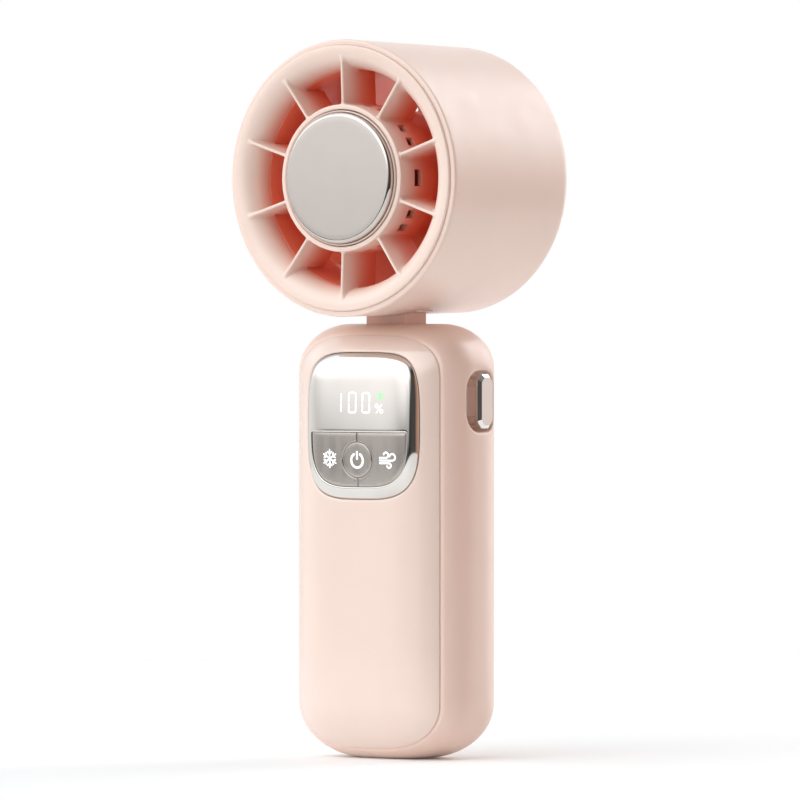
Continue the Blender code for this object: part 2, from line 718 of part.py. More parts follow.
def build_neck(surfaces):
    washer_room = WASHER + 2 * FIT
    knuckle_half = NECK_HALF_WIDTH + FIT - washer_room
    flange_top = HANDLE_HEIGHT - HANDLE_WALL - FIT
    flange_low = flange_top - NECK_FLANGE
    post_top = PIN_Z - KNUCKLE_RADIUS - FIT

    bm = bmesh.new()
    add_box(
        bm,
        (-NECK_HALF_WIDTH, NECK_HALF_WIDTH),
        (in_handle(-NECK_HALF_DEPTH), in_handle(NECK_HALF_DEPTH)),
        (flange_low, post_top),
    )
    post = piece("neck_post", bm, surfaces["satin_pink"])
    bm = bmesh.new()
    add_box(
        bm,
        (-NECK_FLANGE_HALF_WIDTH, NECK_FLANGE_HALF_WIDTH),
        (in_handle(-NECK_FLANGE_HALF_DEPTH), in_handle(NECK_FLANGE_HALF_DEPTH)),
        (flange_low - FIT, flange_top),
    )
    flange = tool("neck_flange", bm)
    shoulder = NECK_HALF_DEPTH - FIT
    arc = [math.radians(a) for a in range(20, 161, 20)]
    knuckle = [(in_handle(-shoulder), flange_top), (in_handle(shoulder), flange_top)]
    knuckle += [(in_handle(shoulder), post_top + FIT)]
    knuckle += [
        (in_handle(KNUCKLE_RADIUS * math.cos(a)), PIN_Z + KNUCKLE_RADIUS * math.sin(a)) for a in arc
    ]
    knuckle += [(in_handle(-shoulder), post_top + FIT)]
    combine(post, "UNION", flange)
    combine(post, "UNION", prism_tool("neck_knuckle", knuckle, "x", -knuckle_half, knuckle_half))
    bm = bmesh.new()
    add_prism(bm, circle(HANDLE_Y, PIN_Z, PIN_RADIUS + FIT), "x", -FAR, FAR)
    for side in (-1, 1):
        hole = circle(side * NECK_SCREW_X, HANDLE_Y, SCREW_SHANK + FIT)
        add_prism(bm, hole, "z", flange_low - NECK_FLANGE, HANDLE_HEIGHT)
    combine(post, "DIFFERENCE", tool("neck_holes", bm))

    for number, side in enumerate((-1, 1), 1):
        place = (side * NECK_SCREW_X, HANDLE_Y)
        seat = flange_low - 2 * FIT
        reach = HANDLE_HEIGHT - NECK_SCREW_SKIN - FIT - seat
        add_screw(f"neck_screw_{number}", surfaces, place, "z", seat, reach)

    pin_half = NECK_HALF_WIDTH + FIT + EAR_THICKNESS - FIT
    bm = bmesh.new()
    add_prism(bm, circle(HANDLE_Y, PIN_Z, PIN_RADIUS), "x", -pin_half, pin_half)
    piece("hinge_pin", bm, surfaces["steel"])
    for name, side in (("left", -1), ("right", 1)):
        near = side * (knuckle_half + FIT)
        far = near + side * WASHER
        bm = bmesh.new()
        disc = circle(HANDLE_Y, PIN_Z, KNUCKLE_RADIUS - FIT / 2, 16)
        add_prism(bm, disc, "x", min(near, far), max(near, far))
        washer = piece(f"friction_washer_{name}", bm, surfaces["dark_steel"])
        bore = circle(HANDLE_Y, PIN_Z, PIN_RADIUS + FIT)
        combine(washer, "DIFFERENCE", prism_tool(f"washer_bore_{name}", bore, "x", -FAR, FAR))


# Head shell

def drum_radius_at(y):
    share = (y - SHELL_FRONT) / (HEAD_BACK - SHELL_FRONT)
    return DRUM_RADIUS - DRUM_TAPER * share


def build_head_shell(surfaces):
    back_edge = HEAD_BACK - DRUM_BACK_ROUND
    back_radius = drum_radius_at(back_edge)
    corner = min(DRUM_BACK_ROUND, DRUM_WALL - 2 * FIT)
    profile = [(DRUM_RADIUS - 0.4 * MM, SHELL_FRONT), (DRUM_RADIUS, SHELL_FRONT + 0.5 * MM)]
    for step in range(4):
        a = math.pi / 2 * step / 3
        radius = back_radius - corner * (1 - math.cos(a))
        profile.append((radius, back_edge + DRUM_BACK_ROUND * math.sin(a)))
    profile += [(SHELL_BORE_BACK, HEAD_BACK), (SHELL_BORE_FRONT, SHELL_FRONT)]
    bm = bmesh.new()
    add_turned(bm, profile)
    shell = piece("head_shell", bm, surfaces["satin_pink"], HEAD_PIVOT)

    gap_x = NECK_HALF_WIDTH + FIT
    ear_x = gap_x + EAR_THICKNESS
    wall_middle = drum_radius_at(HANDLE_Y) - DRUM_WALL / 2
    ear_low = AXIS_Z - math.sqrt((wall_middle - DRUM_WALL / 4) ** 2 - ear_x**2)
    bm = bmesh.new()
    add_box(
        bm,
        (-ear_x, ear_x),
        (in_handle(-EAR_HALF_DEPTH), in_handle(EAR_HALF_DEPTH)),
        (ear_low - DRUM_WALL / 2, PIN_Z + KNUCKLE_RADIUS),
    )
    combine(shell, "UNION", tool("hinge_ears", bm))

    pin_drop = PIN_Z - (AXIS_Z - drum_radius_at(HANDLE_Y))
    reach = NECK_HALF_DEPTH + FIT + pin_drop * math.sin(TILT_LIMIT)
    slot_y = reach / math.cos(TILT_LIMIT)
    bm = bmesh.new()
    add_box(
        bm,
        (-gap_x, gap_x),
        (in_handle(-slot_y), in_handle(slot_y)),
        (AXIS_Z - DRUM_RADIUS - FAR, AXIS_Z - DUCT_OUTER + KNUCKLE_RADIUS),
    )
    combine(shell, "DIFFERENCE", tool("neck_slot", bm))
    bore = circle(HANDLE_Y, PIN_Z, PIN_RADIUS + FIT)
    combine(shell, "DIFFERENCE", prism_tool("ear_bore", bore, "x", -ear_x - FIT, ear_x + FIT))


# Front grille, cold plate and what is behind it

def mouth_curve():
    """The bell mouth from its crest to the throat."""
    points = []
    for step in range(8):
        a = math.pi / 2 * step / 7
        points.append((CREST_RADIUS - MOUTH_FLARE * math.sin(a), math.cos(a)))
    return [(r, RING_FRONT + MOUTH_DEPTH * (1 - c)) for r, c in points]


def vane_outline():
    """One vane as (x, y) points: sunk into the hub and the ring, and clear of the duct behind."""
    front = HEAD_FRONT + VANE_SETBACK
    back = front + VANE_DEPTH
    root = HUB_RADIUS - HUB_WALL / 2
    spigot = RING_FRONT + RING_SPIGOT
    in_throat = THROAT_RADIUS + THROAT_WALL / 2
    clear = THROAT_RADIUS - 1.5 * FIT
    return [
        (root, front),
        (CREST_RADIUS - 0.6 * MM, front),
        (CREST_RADIUS - 0.6 * MM, spigot - 1 * MM),
        (in_throat, spigot - 0.5 * MM),
        (in_throat, RING_BACK - 0.5 * MM),
        (clear, RING_BACK - 0.5 * MM),
        (clear, back),
        (root, back),
    ]


def build_front_grille(surfaces):
    spigot = RING_FRONT + RING_SPIGOT
    ring = mouth_curve() + [
        (THROAT_RADIUS, RING_BACK),
        (THROAT_RADIUS + THROAT_WALL, RING_BACK),
        (THROAT_RADIUS + THROAT_WALL, spigot),
        (RING_RADIUS, spigot),
        (RING_RADIUS, RING_FRONT + 0.5 * MM),
        (RING_RADIUS - 0.3 * MM, RING_FRONT + 0.1 * MM),
    ]
    floor = HUB_BACK - HUB_FLOOR
    cup = [
        (HUB_RADIUS, HUB_FRONT),
        (HUB_RADIUS, HUB_BACK),
        (HUB_HOLE, HUB_BACK),
        (HUB_HOLE, floor),
        (HUB_BORE, floor),
        (HUB_BORE, HUB_FRONT),
    ]
    bm = bmesh.new()
    add_turned(bm, ring)
    add_turned(bm, cup)
    grille = piece("front_grille", bm, surfaces["grille_pink"], HEAD_PIVOT)

    bm = bmesh.new()
    for number in range(VANES):
        half = VANE_THICKNESS / 2
        verts = add_prism(bm, vane_outline(), "z", AXIS_Z - half, AXIS_Z + half)
        swing(bm, verts, math.pi / 2 + 2 * math.pi * number / VANES)
    combine(grille, "UNION", tool("vanes", bm))
    combine(grille, "DIFFERENCE", build_hub_cuts())


def window_places():
    """Angle and width of each hub window: a pair between vanes, one wide one at each side."""
    places = []
    for number in range(VANES):
        middle = 2 * math.pi * number / VANES
        if number in (0, VANES // 2):
            places.append((middle, CLIP_WINDOW_WIDTH))
        else:
            places.append((middle - WINDOW_SPREAD, WINDOW_WIDTH))
            places.append((middle + WINDOW_SPREAD, WINDOW_WIDTH))
    return places


def motor_screw_places():
    angles = [math.pi / 2 + 2 * math.pi * i / 3 for i in range(3)]
    ring = MOTOR_SCREW_RING
    return [(ring * math.cos(a), AXIS_Z + ring * math.sin(a)) for a in angles]


def build_hub_cuts():
    front = HUB_FRONT + WINDOW_FROM_FRONT
    bm = bmesh.new()
    for angle, width in window_places():
        verts = add_box(
            bm,
            (HUB_BORE - HUB_WALL, HUB_RADIUS + HUB_WALL),
            (front, front + WINDOW_DEPTH),
            (AXIS_Z - width / 2, AXIS_Z + width / 2),
        )
        swing(bm, verts, angle)
    for x, z in motor_screw_places():
        hole = circle(x, z, SCREW_SHANK + FIT)
        add_prism(bm, hole, "y", HUB_BACK - 2 * HUB_FLOOR, HUB_BACK + HUB_FLOOR)
    return tool("hub_cuts", bm)


def build_cold_side(surfaces):
    plate_back = HEAD_FRONT + PLATE_THICKNESS
    bm = bmesh.new()
    profile = [
        (0, HEAD_FRONT),
        (PLATE_RADIUS - PLATE_EDGE, HEAD_FRONT),
        (PLATE_RADIUS - PLATE_EDGE * 0.3, HEAD_FRONT + PLATE_EDGE * 0.3),
        (PLATE_RADIUS, HEAD_FRONT + PLATE_EDGE),
        (PLATE_RADIUS, plate_back),
        (0, plate_back),
    ]
    add_turned(bm, profile, closed=False)
    piece("cold_plate", bm, surfaces["satin_metal"], HEAD_PIVOT)

    front = HEAD_FRONT + COLLAR_SETBACK
    bm = bmesh.new()
    collar = [
        (COLLAR_INNER, front),
        (COLLAR_OUTER, front),
        (COLLAR_OUTER, front + COLLAR_LENGTH),
        (COLLAR_INNER, front + COLLAR_LENGTH),
    ]
    add_turned(bm, collar)
    piece("plate_collar", bm, surfaces["gloss_pink"], HEAD_PIVOT)

    front = plate_back + FIT
    back = front + PELTIER_THICKNESS
    half = PELTIER_HALF
    bm = bmesh.new()
    add_box(bm, (-half, half), (front, back), (AXIS_Z - half, AXIS_Z + half))
    piece("peltier_module", bm, surfaces["ceramic"], HEAD_PIVOT)

    base_front = back + FIT
    base_back = base_front + SINK_BASE
    radius = HUB_BORE - FIT
    bm = bmesh.new()
    disc = [(0, base_front), (radius, base_front), (radius, base_back), (0, base_back)]
    add_turned(bm, disc, closed=False)
    sink = piece("heat_sink", bm, surfaces["aluminium"], HEAD_PIVOT)
    bm = bmesh.new()
    for number in range(SINK_FINS):
        x = (number - (SINK_FINS - 1) / 2) * SINK_PITCH
        reach = math.sqrt((radius - SINK_FIN) ** 2 - (abs(x) + SINK_FIN) ** 2)
        add_box(
            bm,
            (x - SINK_FIN / 2, x + SINK_FIN / 2),
            (base_back - SINK_BASE / 2, base_back + SINK_FIN_HEIGHT),
            (AXIS_Z - reach, AXIS_Z + reach),
        )
    combine(sink, "UNION", tool("sink_fins", bm))


# Air duct and rear grille

def grille_screw_places():
    ring = GRILLE_RADIUS - GRILLE_SCREW_MARGIN
    angles = [math.pi / 2 + 2 * math.pi * i / GRILLE_SCREWS for i in range(GRILLE_SCREWS)]
    return [(ring * math.cos(a), AXIS_Z + ring * math.sin(a)) for a in angles]


def build_duct(surfaces):
    flange_back = GRILLE_FRONT - FIT
    flange_front = flange_back - DUCT_FLANGE
    profile = [
        (THROAT_RADIUS, RING_BACK + FIT),
        (DUCT_OUTER, RING_BACK + FIT),
        (DUCT_OUTER, flange_front),
        (GRILLE_RADIUS, flange_front),
        (GRILLE_RADIUS, flange_back),
        (THROAT_RADIUS, flange_back),
    ]
    bm = bmesh.new()
    add_turned(bm, profile)
    duct = piece("duct_liner", bm, surfaces["grille_pink"], HEAD_PIVOT)
    bm = bmesh.new()
    for x, z in grille_screw_places():
        add_prism(bm, circle(x, z, SCREW_SHANK + FIT), "y", flange_front - 1 * MM, FAR)
    combine(duct, "DIFFERENCE", tool("duct_holes", bm))


def slot_outline(inner, outer, angle):
    """One opening between two rings and two ribs, as (x, z) points."""
    points = []
    for radius, direction in ((inner, 1), (outer, -1)):
        half = math.pi / GRILLE_RIBS - GRILLE_RIB / 2 / radius
        for step in range(4):
            a = angle + direction * half * (2 * step / 3 - 1)
            points.append((radius * math.cos(a), AXIS_Z + radius * math.sin(a)))
    return points


def build_rear_grille(surfaces):
    profile = [
        (0, GRILLE_FRONT),
        (GRILLE_RADIUS, GRILLE_FRONT),
        (GRILLE_RADIUS, GRILLE_BACK),
        (0, GRILLE_BACK),
    ]
    bm = bmesh.new()
    add_turned(bm, profile, closed=False)
    grille = piece("rear_grille", bm, surfaces["satin_pink"], HEAD_PIVOT)

    pitch = (THROAT_RADIUS - GRILLE_CAP_RADIUS) / GRILLE_RINGS
    bm = bmesh.new()
    for ring in range(GRILLE_RINGS):
        inner = GRILLE_CAP_RADIUS + ring * pitch
        outer = inner + pitch - GRILLE_RIB
        for rib in range(GRILLE_RIBS):
            angle = 2 * math.pi * (rib + 0.5) / GRILLE_RIBS
            add_prism(bm, slot_outline(inner, outer, angle), "y", 0, FAR)
    for x, z in grille_screw_places():
        add_prism(bm, circle(x, z, SCREW_SHANK + FIT), "y", 0, FAR)
    combine(grille, "DIFFERENCE", tool("grille_slots", bm))
    seat = GRILLE_BACK - SCREW_HEAD_HEIGHT
    bm = bmesh.new()
    for x, z in grille_screw_places():
        add_prism(bm, circle(x, z, SCREW_HEAD + FIT), "y", seat - FIT, FAR)
    combine(grille, "DIFFERENCE", tool("grille_sinks", bm))
    depth = seat - (GRILLE_FRONT - FIT - DUCT_FLANGE)
    for number, place in enumerate(grille_screw_places(), 1):
        add_screw(f"grille_screw_{number}", surfaces, place, "y", seat, -depth, HEAD_PIVOT)


# Motor and impeller

def tooth_outline():
    """Stator laminations: teeth with wide shoes round a solid core, as (x, z) points."""
    tip = CAN_RADIUS - CAN_WALL - AIR_GAP
    core = tip * 0.5
    arm = tip * 0.88
    points = []
    for number in range(STATOR_TEETH):
        middle = 2 * math.pi * number / STATOR_TEETH
        shoe = 0.78 * math.pi / STATOR_TEETH
        leg = 0.32 * math.pi / STATOR_TEETH
        steps = ((core, -leg * 1.7), (arm, -leg), (arm, -shoe), (tip, -shoe), (tip, 0))
        steps += ((tip, shoe), (arm, shoe), (arm, leg), (core, leg * 1.7))
        for radius, turn in steps:
            a = middle + turn
            points.append((radius * math.cos(a), AXIS_Z + radius * math.sin(a)))
    return points


def build_motor(surfaces):
    base_front = HUB_BACK + FIT
    base_back = base_front + STATOR_BASE
    bearing_back = base_back + STATOR_LENGTH + 2 * MM
    bm = bmesh.new()
    profile = [
        (0, base_front),
        (STATOR_BASE_RADIUS, base_front),
        (STATOR_BASE_RADIUS, base_back),
        (BEARING_RADIUS, base_back),
        (BEARING_RADIUS, bearing_back),
        (0, bearing_back),
    ]
    add_turned(bm, profile, closed=False)
    stator = piece("motor_stator", bm, surfaces["copper"], HEAD_PIVOT)
    teeth_front = base_back + 1 * MM
    teeth_back = teeth_front + STATOR_LENGTH
    combine(stator, "UNION", prism_tool("stator_teeth", tooth_outline(), "y", teeth_front, teeth_back))
    bm = bmesh.new()
    add_prism(bm, circle(0, AXIS_Z, SHAFT_RADIUS + FIT), "y", -FAR, FAR)
    for x, z in motor_screw_places():
        add_prism(bm, circle(x, z, SCREW_SHANK + FIT), "y", base_front - 1 * MM, base_back + 0.5 * MM)
    combine(stator, "DIFFERENCE", tool("stator_holes", bm))
    for number, place in enumerate(motor_screw_places(), 1):
        seat = HUB_BACK - HUB_FLOOR - FIT
        add_screw(f"motor_screw_{number}", surfaces, place, "y", seat, 2.6 * MM, HEAD_PIVOT)

    can_front = base_back + RUN
    can_back = can_front + CAN_LENGTH
    bm = bmesh.new()
    can = [
        (CAN_RADIUS, can_front),
        (CAN_RADIUS, can_back),
        (SHAFT_RADIUS + FIT, can_back),
        (SHAFT_RADIUS + FIT, can_back - CAN_WALL),
        (CAN_RADIUS - CAN_WALL, can_back - CAN_WALL),
        (CAN_RADIUS - CAN_WALL, can_front),
    ]
    add_turned(bm, can)
    piece("rotor_can", bm, surfaces["dark_steel"], SPIN_PIVOT)
    shaft_back = can_back + FIT + IMPELLER_CAP * 0.6
    bm = bmesh.new()
    shaft = circle(0, AXIS_Z, SHAFT_RADIUS)
    add_prism(bm, shaft, "y", base_front + FIT, shaft_back)
    piece("motor_shaft", bm, surfaces["steel"], SPIN_PIVOT)
    build_impeller(surfaces, HUB_BACK + RUN, can_back + FIT, shaft_back + FIT)


def build_impeller(surfaces, front, floor, bore_end):
    back = floor + IMPELLER_CAP
    bm = bmesh.new()
    profile = [
        (0, back),
        (IMPELLER_HUB * 0.7, back - 0.4 * MM),
        (IMPELLER_HUB * 0.93, back - 1.4 * MM),
        (IMPELLER_HUB, back - 3.2 * MM),
        (IMPELLER_HUB, front),
        (IMPELLER_BORE, front),
        (IMPELLER_BORE, floor),
        (SHAFT_RADIUS + FIT, floor),
        (SHAFT_RADIUS + FIT, bore_end),
        (0, bore_end),
    ]
    add_turned(bm, profile, closed=False)
    impeller = piece("impeller", bm, surfaces["grille_pink"], SPIN_PIVOT)
    bm = bmesh.new()
    for number in range(BLADES):
        add_blade(bm, 2 * math.pi * number / BLADES, front + 1 * MM)
    combine(impeller, "UNION", tool("blades", bm))


def blade_sheet(angle, front, side):
    """One face of a helical blade as rows of points from root to tip."""
    root = IMPELLER_HUB - BLADE_ROOT_SINK
    rows = []
    for i in range(4):
        radius = root + (BLADE_TIP - root) * i / 3
        row = []
        for j in range(6):
            along = j / 5
            arc = radius * BLADE_SWEEP
            slant = math.hypot(arc, BLADE_LENGTH)
            half = BLADE_THICKNESS / 2 * (0.35 + 0.65 * math.sin(math.pi * along))
            a = angle + BLADE_SWEEP * (along - 0.5) + side * half * BLADE_LENGTH / slant / radius
            y = front + BLADE_LENGTH * along - side * half * arc / slant
            row.append((radius * math.cos(a), y, AXIS_Z + radius * math.sin(a)))
        rows.append(row)
    return rows


def add_blade(bm, angle, front):
    sheets = []
    for side in (-1, 1):
        rows = blade_sheet(angle, front + BLADE_THICKNESS / 2, side)
        sheets.append([[bm.verts.new(p) for p in row] for row in rows])
    for sheet in sheets:
        for near, far in zip(sheet, sheet[1:]):
            for j in range(len(near) - 1):
                bm.faces.new((near[j], near[j + 1], far[j + 1], far[j]))
    rims = []
    for sheet in sheets:
        tail = [row[-1] for row in sheet[1:]]
        lead = [row[0] for row in reversed(sheet[1:-1])]
        rims.append(sheet[0] + tail + list(reversed(sheet[-1]))[1:] + lead)
    first, second = rims
    for i in range(len(first)):
        bm.faces.new((first[i - 1], first[i], second[i], second[i - 1]))


def build():
    for old in list(bpy.data.objects):
        bpy.data.objects.remove(old, do_unlink=True)
    surfaces = {
        "satin_pink": material("satin_pink", (0.86, 0.66, 0.60), 0.42),
        "gloss_pink": material("gloss_pink", (0.90, 0.74, 0.70), 0.10),
        "grille_pink": material("grille_pink", (0.88, 0.66, 0.60), 0.30),
        "mirror": material("mirror", (0.80, 0.77, 0.74), 0.06, 1.0),
        "button_metal": material("button_metal", (0.62, 0.58, 0.55), 0.22, 1.0),
        "chrome": material("chrome", (0.82, 0.80, 0.78), 0.08, 1.0),
        "satin_metal": material("satin_metal", (0.70, 0.68, 0.65), 0.28, 1.0),
        "aluminium": material("aluminium", (0.75, 0.75, 0.76), 0.35, 1.0),
        "steel": material("steel", (0.55, 0.55, 0.56), 0.30, 1.0),
        "dark_steel": material("dark_steel", (0.20, 0.20, 0.21), 0.35, 1.0),
        "copper": material("copper", (0.72, 0.38, 0.22), 0.35, 1.0),
        "ceramic": material("ceramic", (0.90, 0.90, 0.88), 0.50),
        "board_green": material("board_green", (0.05, 0.22, 0.10), 0.45),
        "black_plastic": material("black_plastic", (0.03, 0.03, 0.03), 0.40),
        "white_plastic": material("white_plastic", (0.80, 0.80, 0.79), 0.45),
        "cell_wrap": material("cell_wrap", (0.10, 0.28, 0.50), 0.30),
    }
    build_handle_shells(surfaces)
    build_lanyard_bar(surfaces)
    build_control_panel(surfaces)
    build_buttons(surfaces)
    build_electronics(surfaces)
    build_inner_frame(surfaces)
    build_battery(surfaces)
    build_charging(surfaces)
    build_neck(surfaces)
    build_head_shell(surfaces)
    build_front_grille(surfaces)
    build_cold_side(surfaces)
    build_duct(surfaces)
    build_rear_grille(surfaces)
    build_motor(surfaces)


build()
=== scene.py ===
"""Looks of a handheld cooling fan: fine meshes, finishes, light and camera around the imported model."""

import json
import math

import bmesh
import bpy
import numpy as np
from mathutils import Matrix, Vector
from mathutils.geometry import delaunay_2d_cdt


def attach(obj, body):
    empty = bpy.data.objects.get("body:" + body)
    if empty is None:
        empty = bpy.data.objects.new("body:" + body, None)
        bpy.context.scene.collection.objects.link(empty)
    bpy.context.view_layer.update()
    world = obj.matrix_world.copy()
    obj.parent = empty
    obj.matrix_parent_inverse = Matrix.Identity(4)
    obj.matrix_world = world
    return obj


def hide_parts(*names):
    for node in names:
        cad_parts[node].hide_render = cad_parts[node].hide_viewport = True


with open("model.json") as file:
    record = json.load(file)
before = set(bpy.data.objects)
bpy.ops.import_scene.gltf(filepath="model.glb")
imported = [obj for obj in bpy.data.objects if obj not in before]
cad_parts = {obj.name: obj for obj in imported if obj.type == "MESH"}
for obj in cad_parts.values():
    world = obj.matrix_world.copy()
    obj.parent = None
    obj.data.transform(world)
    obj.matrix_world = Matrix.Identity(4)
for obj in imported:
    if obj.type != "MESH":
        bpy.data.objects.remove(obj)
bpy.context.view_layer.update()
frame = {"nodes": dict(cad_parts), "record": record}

# Shapes are written in millimetres and made in metres
MM = 0.001
WELD = 0.001
SLIVER = 0.0001
CUT_WELD = 0.01

# Handle form, as in the model: a superellipse section with elliptical ends
HANDLE_HEIGHT = 104.95
HANDLE_HALF_WIDTH = 24.5
HANDLE_HALF_DEPTH = 15.1
HANDLE_POWER = 3.0
HANDLE_END = 13.5
TOP_HALF_WIDTH = 12.0
TOP_END = 11.0
FOOT_HALF_WIDTH = 7.3
END_HALF_DEPTH = 5.1
BACK_HALF_DEPTH = 6.5
BACK_END = 10.0
HANDLE_WALL = 1.6
HANDLE_Y = -1.1
SPLIT = -10.8
SEAM = 0.07
FRONT_ROUND = 0.3
REAR_ROUND = 0.6

# Control panel and buttons
PANEL_HALF_WIDTH = 16.35
PANEL_HALF_HEIGHT = 17.65
PANEL_Z = HANDLE_HEIGHT - 24.55
PANEL_PROUD = 1.3
PANEL_WALL = 1.8
PANEL_ROUND = 1.9
PANEL_CROWN = 0.8
PANEL_LIFT = 0.6
FIELD_HALF_WIDTH = 14.1
FIELD_HALF_HEIGHT = 14.7
FIELD_TOP = HANDLE_HEIGHT - 26.05
WINDOW_GAP = 0.08
WINDOW_ROUND = 0.4
BUTTON_GAP = 0.06
BUTTON_PROUD = 1.15
BUTTON_ROUND = 0.2
FIELD_ROUND = 0.22
BUTTON_BACK = -13.65
STEM_BACK = -11.5
STEM_RADIUS = 1.5
POWER_Z = HANDLE_HEIGHT - 32.7
POWER_RADIUS = 4.3
SIDE_BUTTON_X = 9.2

# Lanyard bar and pocket
BAR_Z = HANDLE_HEIGHT - 18.6
BAR_Y = HANDLE_Y + 2.15
BAR_HALF_LENGTH = 6.5
BAR_HALF_WIDTH = 3.0
BAR_CUT = 1.6
BAR_BEVEL = 0.75
BAR_OUTER = HANDLE_HALF_WIDTH + 1.0
BAR_INNER = BAR_OUTER - 1.7
POCKET_HALF_LENGTH = 7.35
POCKET_HALF_WIDTH = 6.45
POCKET_CORNER = 5.0
POCKET_ROUND = 0.8
LEG_GAP = 0.03
POCKET_FLOOR = HANDLE_HALF_WIDTH - 5.5
POCKET_BACK = POCKET_FLOOR - 1.3

# Openings in the two ends of the handle
NECK_HALF_WIDTH = 5.85
NECK_HALF_DEPTH = 4.45
SOCKET_HALF_WIDTH = 4.72
SOCKET_HALF_DEPTH = 1.88

# Head
AXIS_Z = 140.0
HEAD_FRONT = -25.4
HEAD_BACK = 25.4
DRUM_RADIUS = 33.3
DRUM_TAPER = 0.9
DRUM_WALL = 1.3
SHELL_FRONT = -23.2
RING_FRONT = -23.9
RING_RADIUS = 31.96
CREST_RADIUS = 30.8
MOUTH_FLARE = 4.5
MOUTH_DEPTH = 6.0
THROAT_RADIUS = CREST_RADIUS - MOUTH_FLARE
MOUTH_END = RING_FRONT + MOUTH_DEPTH
RING_BACK = MOUTH_END + 0.8
HUB_FRONT = -23.8
HUB_BACK = -9.6
HUB_BORE = 16.5
HUB_RADIUS = 17.7
VANES = 10
VANE_HALF = 0.55
VANE_EDGE = 0.36
VANE_FRONT = -23.2
VANE_RISE = 0.55
VANE_BACK = -10.2
THROAT_DEPTH = RING_BACK - 0.4 - VANE_FRONT
PLATE_RADIUS = 15.75
PLATE_EDGE = 0.95
PLATE_CROWN = 0.1
PLATE_BACK = -22.9
COLLAR_INNER = 15.82
COLLAR_OUTER = 16.25
COLLAR_FRONT = -24.05
COLLAR_BACK = -21.05
DUCT_OUTER = 27.3
DUCT_FRONT = RING_BACK + 0.25
DUCT_BACK = 22.45
GRILLE_FRONT = 22.7
GRILLE_BACK = 25.0
GRILLE_RADIUS = 30.85
GRILLE_CAP = 8.0
GRILLE_RINGS = 3
GRILLE_RIBS = 12
GRILLE_RIB = 1.3
SCREW_RING = GRILLE_RADIUS - 2.1
SCREW_HOLE = 1.95
SCREW_HEAD = 1.7
IMPELLER_HUB = 16.6
IMPELLER_FRONT = -9.0
IMPELLER_FLOOR = 4.0
IMPELLER_BACK = 7.5
BLADES = 9
BLADE_TIP = 25.7
PIN_Z = 110.35
PIN_BORE = 1.15
HEAD_TURNS = 240


# Flat loops, as rows of (u, v)

def circle(u, v, radius, count):
    turn = np.arange(count) * 2 * np.pi / count
    return np.column_stack((u + radius * np.cos(turn), v + radius * np.sin(turn)))


def superellipse(half_width, half_height, power, count):
    turn = np.arange(count) * 2 * np.pi / count
    c, s = np.cos(turn), np.sin(turn)
    u = half_width * np.sign(c) * np.abs(c) ** (2 / power)
    v = half_height * np.sign(s) * np.abs(s) ** (2 / power)
    return np.column_stack((u, v))


def even_steps(line, spacing=None, count=None):
    """Evenly spaced points along a line, from its first point to just before its last."""
    along = np.concatenate(([0], np.cumsum(np.linalg.norm(np.diff(line, axis=0), axis=1))))
    count = count or math.ceil(along[-1] / spacing)
    where = np.linspace(0, along[-1], count, endpoint=False)
    return np.column_stack([np.interp(where, along, line[:, k]) for k in range(line.shape[1])])


def resample(loop, count=None, spacing=None):
    """Evenly spaced points along a closed loop, from its first point on."""
    return even_steps(np.vstack((loop, loop[:1])), spacing, count)


def inset(loop, distance):
    """Moves a counter-clockwise loop inwards, or outwards for a negative distance."""
    ahead = np.roll(loop, -1, axis=0) - loop
    ahead /= np.linalg.norm(ahead, axis=1)[:, None]
    behind = np.roll(ahead, 1, axis=0)
    mean = (ahead + behind) / 2
    length = np.maximum(np.linalg.norm(mean, axis=1), 0.6)[:, None]
    normal = np.column_stack((-mean[:, 1], mean[:, 0])) / length
    return loop + normal * distance / length


def squircle(grow, count=280):
    """Outline of the control panel, rounder below than above."""
    width, height = PANEL_HALF_WIDTH + grow, PANEL_HALF_HEIGHT + grow
    upper = superellipse(width, height, 4.3, 4000)[:2000]
    lower = superellipse(width, height, 3.6, 4000)[2000:]
    return resample(np.vstack((upper, lower)) + (0, PANEL_Z), count)


def field_run(grow):
    """Right half of the button opening, from its bottom middle round to its top corner."""
    width, height = FIELD_HALF_WIDTH + grow, FIELD_HALF_HEIGHT + grow
    lower = superellipse(width, height, 3.6, 4000)[3000:] + (0, PANEL_Z)
    top = FIELD_TOP + grow
    corner = np.array([(width, top)])
    return np.vstack((lower[lower[:, 1] < top - 0.5], corner))


def mirrored(run):
    return (run * (-1, 1))[::-1]


def button_field(grow, count=260):
    right = field_run(grow)
    return resample(np.vstack((right, mirrored(right)[:-1])), count)


def rounded_box(half_u, half_v, corner, u=0.0, v=0.0, count=96):
    turn = np.linspace(0, 2 * np.pi, 400, endpoint=False)
    c, s = np.cos(turn), np.sin(turn)
    points_u = u + (half_u - corner) * np.sign(c) + corner * c
    points_v = v + (half_v - corner) * np.sign(s) + corner * s
    return resample(np.column_stack((points_u, points_v)), count)


def inside(points, loop):
    """Even-odd test of many flat points against one closed loop."""
    u, v = points[:, 0], points[:, 1]
    hit = np.zeros(len(points), bool)
    for (u0, v0), (u1, v1) in zip(loop, np.roll(loop, -1, axis=0)):
        if v0 != v1:
            crossing = u0 + (v - v0) * (u1 - u0) / (v1 - v0)
            hit ^= ((v0 > v) != (v1 > v)) & (u < crossing)
    return hit


def closed_lines(loops):
    """Pairs of point numbers along closed loops that are numbered one after another."""
    lines = []
    for loop in loops:
        start = len(lines)
        lines += [(start + i, start + (i + 1) % len(loop)) for i in range(len(loop))]
    return lines


# Flat loops put into space

def at_x(loop, x):
    return np.insert(loop, 0, x, axis=1)


def at_y(loop, y):
    return np.insert(loop, 1, y, axis=1)


def at_z(loop, z):
    return np.insert(loop, 2, z, axis=1)


# Handle surface

